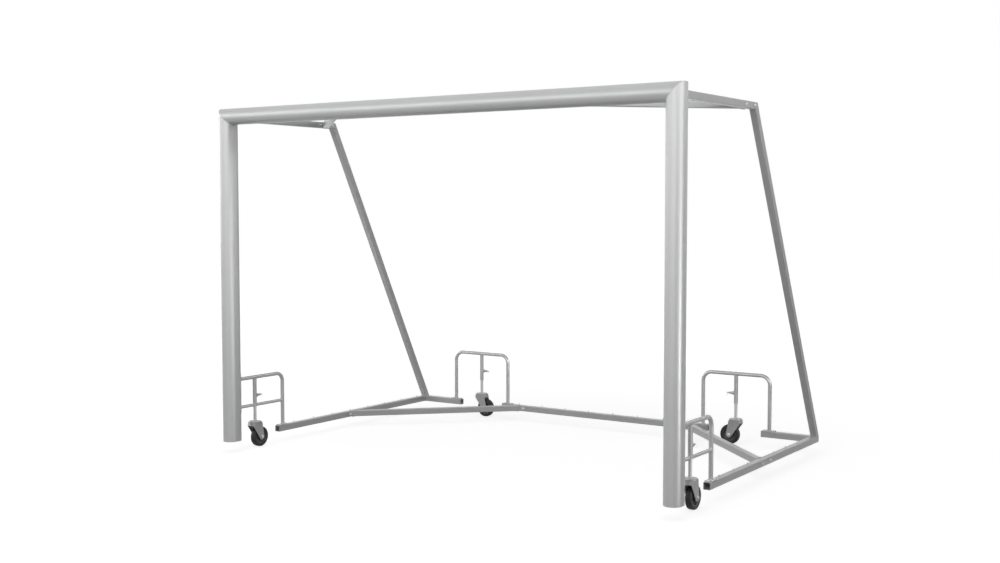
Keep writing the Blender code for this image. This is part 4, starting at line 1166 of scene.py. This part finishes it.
def coreMesh():
    # hub, web, ribs and rim of the wheel
    hubEnd = castor["wheelWidth"] / 2 + wheel["hubMargin"]
    bore = castor["axle"] / 2 + castor["running"]
    rimEnd = castor["wheelWidth"] / 2 - wheel["rimSetback"]
    rim, hub, web = wheel["rim"], wheel["hub"], wheel["web"] / 2
    inside = rim - wheel["rimLip"]
    bottom, edge, soft, fine = inside - wheel["rimSlope"], wheel["edge"], brokenEdge, goal["plateEdge"]
    half = [(bore, hubEnd - soft), (bore + soft, hubEnd), (hub - edge, hubEnd), (hub, hubEnd - edge)]
    half += [(hub + out, web + up) for out, up in wheel["hubCorner"]]
    half += [(bottom + out, web + up) for out, up in wheel["rimCorner"]]
    half += [(inside - wheel["rimEdge"], rimEnd - edge), (inside + soft, rimEnd), (rim - fine, rimEnd),
             (rim, rimEnd - fine)]
    shape = newShape()
    lathe(shape, half + [(r, -h) for r, h in reversed(half)], 64, matrix=toAxle)
    ribTop, thick, sunk, dip = web + wheel["ribHeight"], wheel["rib"], wheel["ribSunk"], wheel["ribDip"]
    outline = [(hub - sunk, web - sunk), (inside - fine, web - sunk), (inside - dip, ribTop),
               (inside * wheel["ribBend"], ribTop - dip), (hub + fine, ribTop + wheel["ribRise"])]
    for face, shift in ((-1, 0), (1, 0.25)):
        for i in range(wheel["ribs"]):
            spin = Matrix.Rotation(2 * math.pi * (i + shift) / wheel["ribs"], 4, "Y")
            made = skin(shape, [[spin @ Vector((x, face * y, z)) for x, y in outline]
                                for z in (-thick / 2, thick / 2)])
            for row in made:
                lid(shape, [row], [outline])
    return keepMesh("wheel_core", shape, coreFinish)


def tyreMesh():
    # a solid tyre: rounded tread, a ridge on each shoulder and rounded beads on the rim
    radius, edge = castor["wheelRadius"], castor["wheelWidth"] / 2
    seat, shoulder = wheel["rim"] + gap, wheel["shoulder"]
    half = [(seat + out, edge - into) for out, into in wheel["tyreSide"]]
    middle = (radius - wheel["crownEdge"] - shoulder, edge - wheel["sideEdge"] - shoulder)
    half += arc(*middle, shoulder, 90, 0, 6)
    half += [(radius, wheel["treadFlat"]), (radius, 0.0)]
    shape = newShape()
    lathe(shape, half + [(r, -h) for r, h in reversed(half[:-1])], 96, 0.5, toAxle)
    return keepMesh("tyre", shape, rubberFinish, 40)


axleBolt = {
    "acrossFlats": 0.0150, "height": 0.006, "washer": 0.0195, "sunk": 0.0009, "tail": 0.002, "edge": 0.0007,
}


def axleMesh():
    face = castor["wheelWidth"] / 2 + fork["margin"] + fork["sheet"] + 2 * castor["running"]
    height, sunk, base = axleBolt["height"], axleBolt["sunk"], bolt["washerHeight"]
    shape = newShape()
    for side, spin in ((-1, 22), (1, 9)):
        out = aimed((0, side * (face - sunk), 0), (0, side, 0), spin)
        washer(shape, out, axleBolt["washer"])
        hexagon(shape, axleBolt["acrossFlats"], base, sunk + height, side > 0, out)
    rod(shape, (0, -face, 0), (0, face + height + axleBolt["tail"], 0), castor["axle"], 32, axleBolt["edge"])
    return keepMesh("axle_bolt", shape, brightFinish)


# Index plunger, drawn along +X from the stem's axis
plunger = {
    "root": 0.024, "tip": 0.0124, "shoulder": 0.021, "end": 0.050, "lip": 0.003, "pin": 0.008,
    "pinShoulder": 0.004, "knob": 0.0104, "reach": 0.066, "tang": 0.004, "tangLength": 0.009,
    "tangRoot": 0.002, "tangEdge": 0.0004, "ring": 0.020, "ringWire": 0.0018, "ringHole": 0.0029,
    "edge": 0.0005, "noseEdge": 0.0008, "grooves": 3, "grooveMargin": 0.001,
    # the ledge under the cone, and the narrow collar that the cone ends in
    "ledge": 0.0012, "collar": 0.0004, "collarLength": 0.001, "cut": 0.03,
}
ringAt = plunger["reach"] - plunger["tangLength"] / 2
toPlunger = turned(90, "Y")


def housingMesh():
    # the conical body that holds the sprung pin, its root cut round the sleeve
    bore = plunger["pin"] / 2 + castor["running"]
    root, tip, fine = plunger["root"] / 2, plunger["tip"] / 2, plunger["edge"]
    shoulder, end, lip, edge = plunger["shoulder"], plunger["end"], plunger["lip"], castor["edge"]
    profile = [(bore, castor["sleeve"] / 4), (root, castor["sleeve"] / 4), (root, shoulder)]
    profile += arc(root - edge, shoulder, edge, 30, 90, 2)
    profile += [(root - edge - plunger["ledge"], shoulder + edge),
                (tip + plunger["collar"], end - lip - plunger["collarLength"]), (tip, end - lip),
                (tip, end - fine), (tip - fine, end), (bore, end)]
    shape, cutter = newShape(), newShape()
    lathe(shape, profile, 48, matrix=toPlunger)
    rod(cutter, (0, 0, -plunger["cut"]), (0, 0, plunger["cut"]), castor["sleeve"] + 2 * gap, 48)
    return cutMesh(keepMesh("housing", shape, zincFinish), [cutter])


def pinMesh():
    # the sprung pin: nose, body, grooved knob and a flat tang with the ring's hole
    nose = castor["stem"] / 2 - castor["slotDepth"] + castor["play"]
    step = castor["sleeve"] / 2 + plunger["pinShoulder"]
    knob = plunger["end"] + castor["running"]
    knobEnd = ringAt - plunger["tangLength"] / 2
    small, body, big, edge = castor["nose"] / 2, plunger["pin"] / 2, plunger["knob"] / 2, castor["edge"]
    fine, noseEdge, grooves = plunger["edge"], plunger["noseEdge"], plunger["grooves"]
    profile = [(0, nose), (small - noseEdge, nose), (small, nose + noseEdge), (small, step), (body, step),
               (body, knob), (big - fine, knob), (big, knob + fine)]
    span = knobEnd - edge - knob - plunger["grooveMargin"]
    for i in range(grooves):
        start = knob + noseEdge + span * i / grooves
        profile += [(big, start), (big - fine, start + span / grooves * 0.25),
                    (big - fine, start + span / grooves * 0.5), (big, start + span / grooves * 0.75)]
    profile += [(big, knobEnd - edge), (big - edge * 0.35, knobEnd - edge * 0.35), (big - edge, knobEnd)]
    shape = newShape()
    lathe(shape, profile + [(0, knobEnd)], 36, matrix=toPlunger)
    half = plunger["reach"] - ringAt
    root = knobEnd - plunger["tangRoot"]
    outline = [(root, half), (root, -half)] + arc(ringAt, 0, half, 270, 450, 18)
    section(shape, [outline, circle(plunger["ringHole"], 18, ringAt)], (0, plunger["tang"] / 2, 0), xAxis,
            zAxis, 0, plunger["tang"], plunger["tangEdge"])
    return keepMesh("index_pin", shape, brightFinish)


def ringMesh():
    radius = (plunger["ring"] - plunger["ringWire"]) / 2
    profile = [(radius + x, y) for x, y in circle(plunger["ringWire"], 12)]
    shape = newShape()
    lathe(shape, profile, 56, matrix=Matrix.Translation((0, 0, -radius)) @ toPlunger)
    return keepMesh("pull_ring", shape, brightFinish, 60)


def makeCastors():
    sleeves = {top: sleeveMesh(top) for top in (wheelFrame["bracketTop"], wheelFrame["hoopTop"])}
    stem, swivel, core, tyre, axle = stemMesh(), forkMesh(), coreMesh(), tyreMesh(), axleMesh()
    housing, pin, ring = housingMesh(), pinMesh(), ringMesh()
    wheelAt = Matrix.Translation((castor["trail"], 0, axleZ))
    plungerAt = Matrix.Translation((0, 0, plungerZ))
    ringPlace = Matrix.Translation((ringAt, 0, plungerZ))
    places = (
        ("front_left", -sideX, wheelFrame["fromPost"], 90, wheelFrame["bracketTop"]),
        ("front_right", sideX, wheelFrame["fromPost"], 90, wheelFrame["bracketTop"]),
        ("rear_left", -hoopCentre, rearAxis, 0, wheelFrame["hoopTop"]),
        ("rear_right", hoopCentre, rearAxis, 180, wheelFrame["hoopTop"]),
    )
    for name, x, y, heading, railTop in places:
        at = toFrame @ Matrix.Translation((x, y, 0)) @ turned(heading, "Z")
        sleeve, sleeveWeld = sleeves[railTop]
        pieces = (
            ("sleeve_", sleeve, "frame", "zinc_tube", "guide_sleeve_", at),
            ("sleeve_weld_", sleeveWeld, "frame", "zinc_tube", None, at),
            ("stem_post_", stem, "stem_" + name, "zinc_tube", "castor_stem_", at),
            ("swivel_fork_", swivel, "fork_" + name, "pressed_zinc", "castor_fork_", at),
            ("wheel_bolt_", axle, "fork_" + name, "bright_zinc", "axle_bolt_", at @ wheelAt),
            ("wheel_hub_", core, "wheel_" + name, "core_plastic", "wheel_core_", at @ wheelAt),
            ("wheel_tyre_", tyre, "wheel_" + name, "tyre_rubber", "tyre_", at @ wheelAt),
            ("pin_housing_", housing, "frame", "plunger_zinc", "plunger_housing_", at @ plungerAt),
            ("lock_pin_", pin, "pin_" + name, "bright_zinc", "index_pin_", at @ plungerAt),
            ("pin_ring_", ring, "ring_" + name, "bright_zinc", "pull_ring_", at @ ringPlace),
        )
        for title, mesh, body, slotName, replaced, matrix in pieces:
            placePiece(title + name, mesh, body, [replaced + name] if replaced else [], matrix)


makeCastors()
print("castors made")


# Floor, lamps, world and camera

studio = {
    "floorSize": 40.0, "floorColour": (0.14, 0.14, 0.14), "ambient": 0.20, "shadowTone": 0.5,
    "glowNear": 0.77, "glowFar": 0.96, "nearRadius": 1.5, "farRadius": 5.5, "arcHeight": 1.8,
}
# lamps: place, aim, width, height, watts, and whether they light surfaces or only gleam on them
lamps = {
    "frontSoftbox": ((0.0, -4.5, 4.2), (0.0, -1.0, 1.0), 5.0, 2.0, 38.0, "light"),
    "frontPanel": ((0.0, -5.5, 2.4), (0.0, -1.0, 1.4), 5.0, 1.5, 44.0, "light"),
    "topSoftbox": ((0.0, 0.0, 5.0), (0.0, 0.0, 0.0), 6.0, 5.0, 42.0, "light"),
    "rightTopSoftbox": ((3.9, -1.2, 2.5), (1.5, -0.4, 2.9), 1.2, 0.8, 12.0, "light"),
    "rightSoftbox": ((7.0, -4.0, 2.5), (0.5, -0.5, 1.2), 2.5, 2.0, 4.0, "light"),
    "leftUplight": ((-2.8, -0.6, 0.15), (-1.5, 1.3, 1.2), 1.0, 1.0, 12.0, "light"),
    "sideStripLow": ((5.4, -0.65, 0.3), (1.5, -1.05, 0.6), 0.8, 0.5, 78.0, "gleam"),
    "sideStrip": ((5.4, -0.65, 1.0), (1.5, -1.05, 1.0), 0.8, 1.2, 32.0, "gleam"),
    "sideBandRear": ((11.0, -0.9, 1.4), (0.0, -1.0, 1.2), 1.4, 3.6, 115.0, "gleam"),
    "sideBand": ((10.5, -4.1, 1.4), (0.0, -1.0, 1.2), 1.4, 3.6, 95.0, "gleam"),
}
# long panels round the goal that only gleam: place, aim height, width, watts
arcs = {
    "leftArc": ((-9.4, -1.3, 4.6), 2.0, 9.0, 210.0),
    "middleArc": ((-6.0, -8.3, 4.6), 2.0, 9.0, 270.0),
    "frontArc": ((2.4, -10.1, 4.6), 2.0, 9.0, 420.0),
    "rightArc": ((8.6, -6.0, 4.6), 2.0, 7.0, 440.0),
    "farArc": ((9.8, 1.0, 4.6), 2.0, 7.0, 560.0),
    "rearArc": ((7.0, 6.5, 4.6), 2.0, 7.0, 140.0),
    "leftLowArc": ((-9.4, -1.3, 2.2), 1.0, 9.0, 200.0),
    "middleLowArc": ((-6.0, -8.3, 2.2), 1.0, 9.0, 160.0),
    "frontLowArc": ((2.4, -10.1, 2.2), 1.0, 9.0, 250.0),
}


def whiteForViewer(tree, output, plain, white):
    # the camera, reflections and glass see white; everything else sees the plain surface
    path = node(tree, "LightPath").outputs
    seen = maths(tree, "MAXIMUM", path["Is Camera Ray"], path["Is Glossy Ray"])
    seen = maths(tree, "MAXIMUM", seen, path["Is Transmission Ray"])
    mix = node(tree, "MixShader")
    for socket, value in zip(mix.inputs, (seen, plain, white)):
        feed(tree, socket, value)
    feed(tree, output, mix.outputs[0])


def makeFloor():
    half = studio["floorSize"] / 2
    mesh = bpy.data.meshes.new("studio_floor")
    corners = [(-half, -half, 0), (half, -half, 0), (half, half, 0), (-half, half, 0)]
    mesh.from_pydata(corners, [], [(0, 1, 2, 3)])
    floor = addObject("studio_floor", mesh)
    made = bpy.data.materials.new("paleFloor")
    made.use_nodes = True
    tree = made.node_tree
    tree.nodes.clear()
    out = node(tree, "OutputMaterial")
    plain = node(tree, "BsdfDiffuse", Color=(*studio["floorColour"], 1.0))
    shadowed = node(tree, "BsdfDiffuse", Color=(*[studio["shadowTone"]] * 3, 1.0))
    # the glow makes up for the lamps, which fade outwards, so that the floor is just white everywhere
    place = node(tree, "NewGeometry").outputs["Position"]
    away = node(tree, "VectorMath", {"operation": "LENGTH"})
    feed(tree, away.inputs[0], place)
    strength = mapped(tree, away.outputs["Value"], studio["nearRadius"], studio["farRadius"],
                      studio["glowNear"], studio["glowFar"])
    glow = node(tree, "Emission", Color=(1, 1, 1, 1), Strength=strength)
    white = node(tree, "AddShader")
    feed(tree, white.inputs[0], shadowed.outputs[0])
    feed(tree, white.inputs[1], glow.outputs[0])
    whiteForViewer(tree, out.inputs[0], plain.outputs[0], white.outputs[0])
    floor.data.materials.append(made)


def makeWorld():
    world = bpy.data.worlds.new("whiteStudio")
    bpy.context.scene.world = world
    world.use_nodes = True
    tree = world.node_tree
    tree.nodes.clear()
    out = node(tree, "OutputWorld")
    dim = node(tree, "Background", Color=(1, 1, 1, 1), Strength=studio["ambient"])
    white = node(tree, "Background", Color=(1, 1, 1, 1), Strength=1.0)
    whiteForViewer(tree, out.inputs[0], dim.outputs[0], white.outputs[0])


def makeLamp(name, position, target, width, height, power, effect):
    lamp = bpy.data.lights.new(name, "AREA")
    lamp.shape = "RECTANGLE"
    lamp.size, lamp.size_y = width, height
    lamp.energy = power
    holder = addObject(name, lamp)
    holder.location = position
    holder.rotation_euler = (Vector(target) - Vector(position)).to_track_quat("-Z", "Y").to_euler()
    holder.visible_camera = False
    holder.visible_diffuse = effect == "light"
    holder.visible_glossy = effect == "gleam"


makeFloor()
makeWorld()
for name, (place, target, width, height, power, effect) in lamps.items():
    makeLamp(name, place, target, width, height, power, effect)
for name, (place, aim, width, power) in arcs.items():
    makeLamp(name, place, (0.0, -1.0, aim), width, studio["arcHeight"], power, "gleam")

viewer = {
    "place": (4.2811, -6.6101, 1.559), "yaw": 33.9434, "pitch": 3.4269, "roll": -0.0272,
    "lens": 45.118, "sensor": 36.0,
}
cameraData = bpy.data.cameras.new("viewer")
cameraData.lens = viewer["lens"]
cameraData.sensor_width = viewer["sensor"]
camera = addObject("viewer", cameraData)
camera.matrix_world = (
    Matrix.Translation(viewer["place"])
    @ turned(viewer["yaw"], "Z") @ turned(90 - viewer["pitch"], "X") @ turned(viewer["roll"], "Z")
)
bpy.context.scene.camera = camera
bpy.context.scene.view_settings.view_transform = "Standard"
print("studio made")
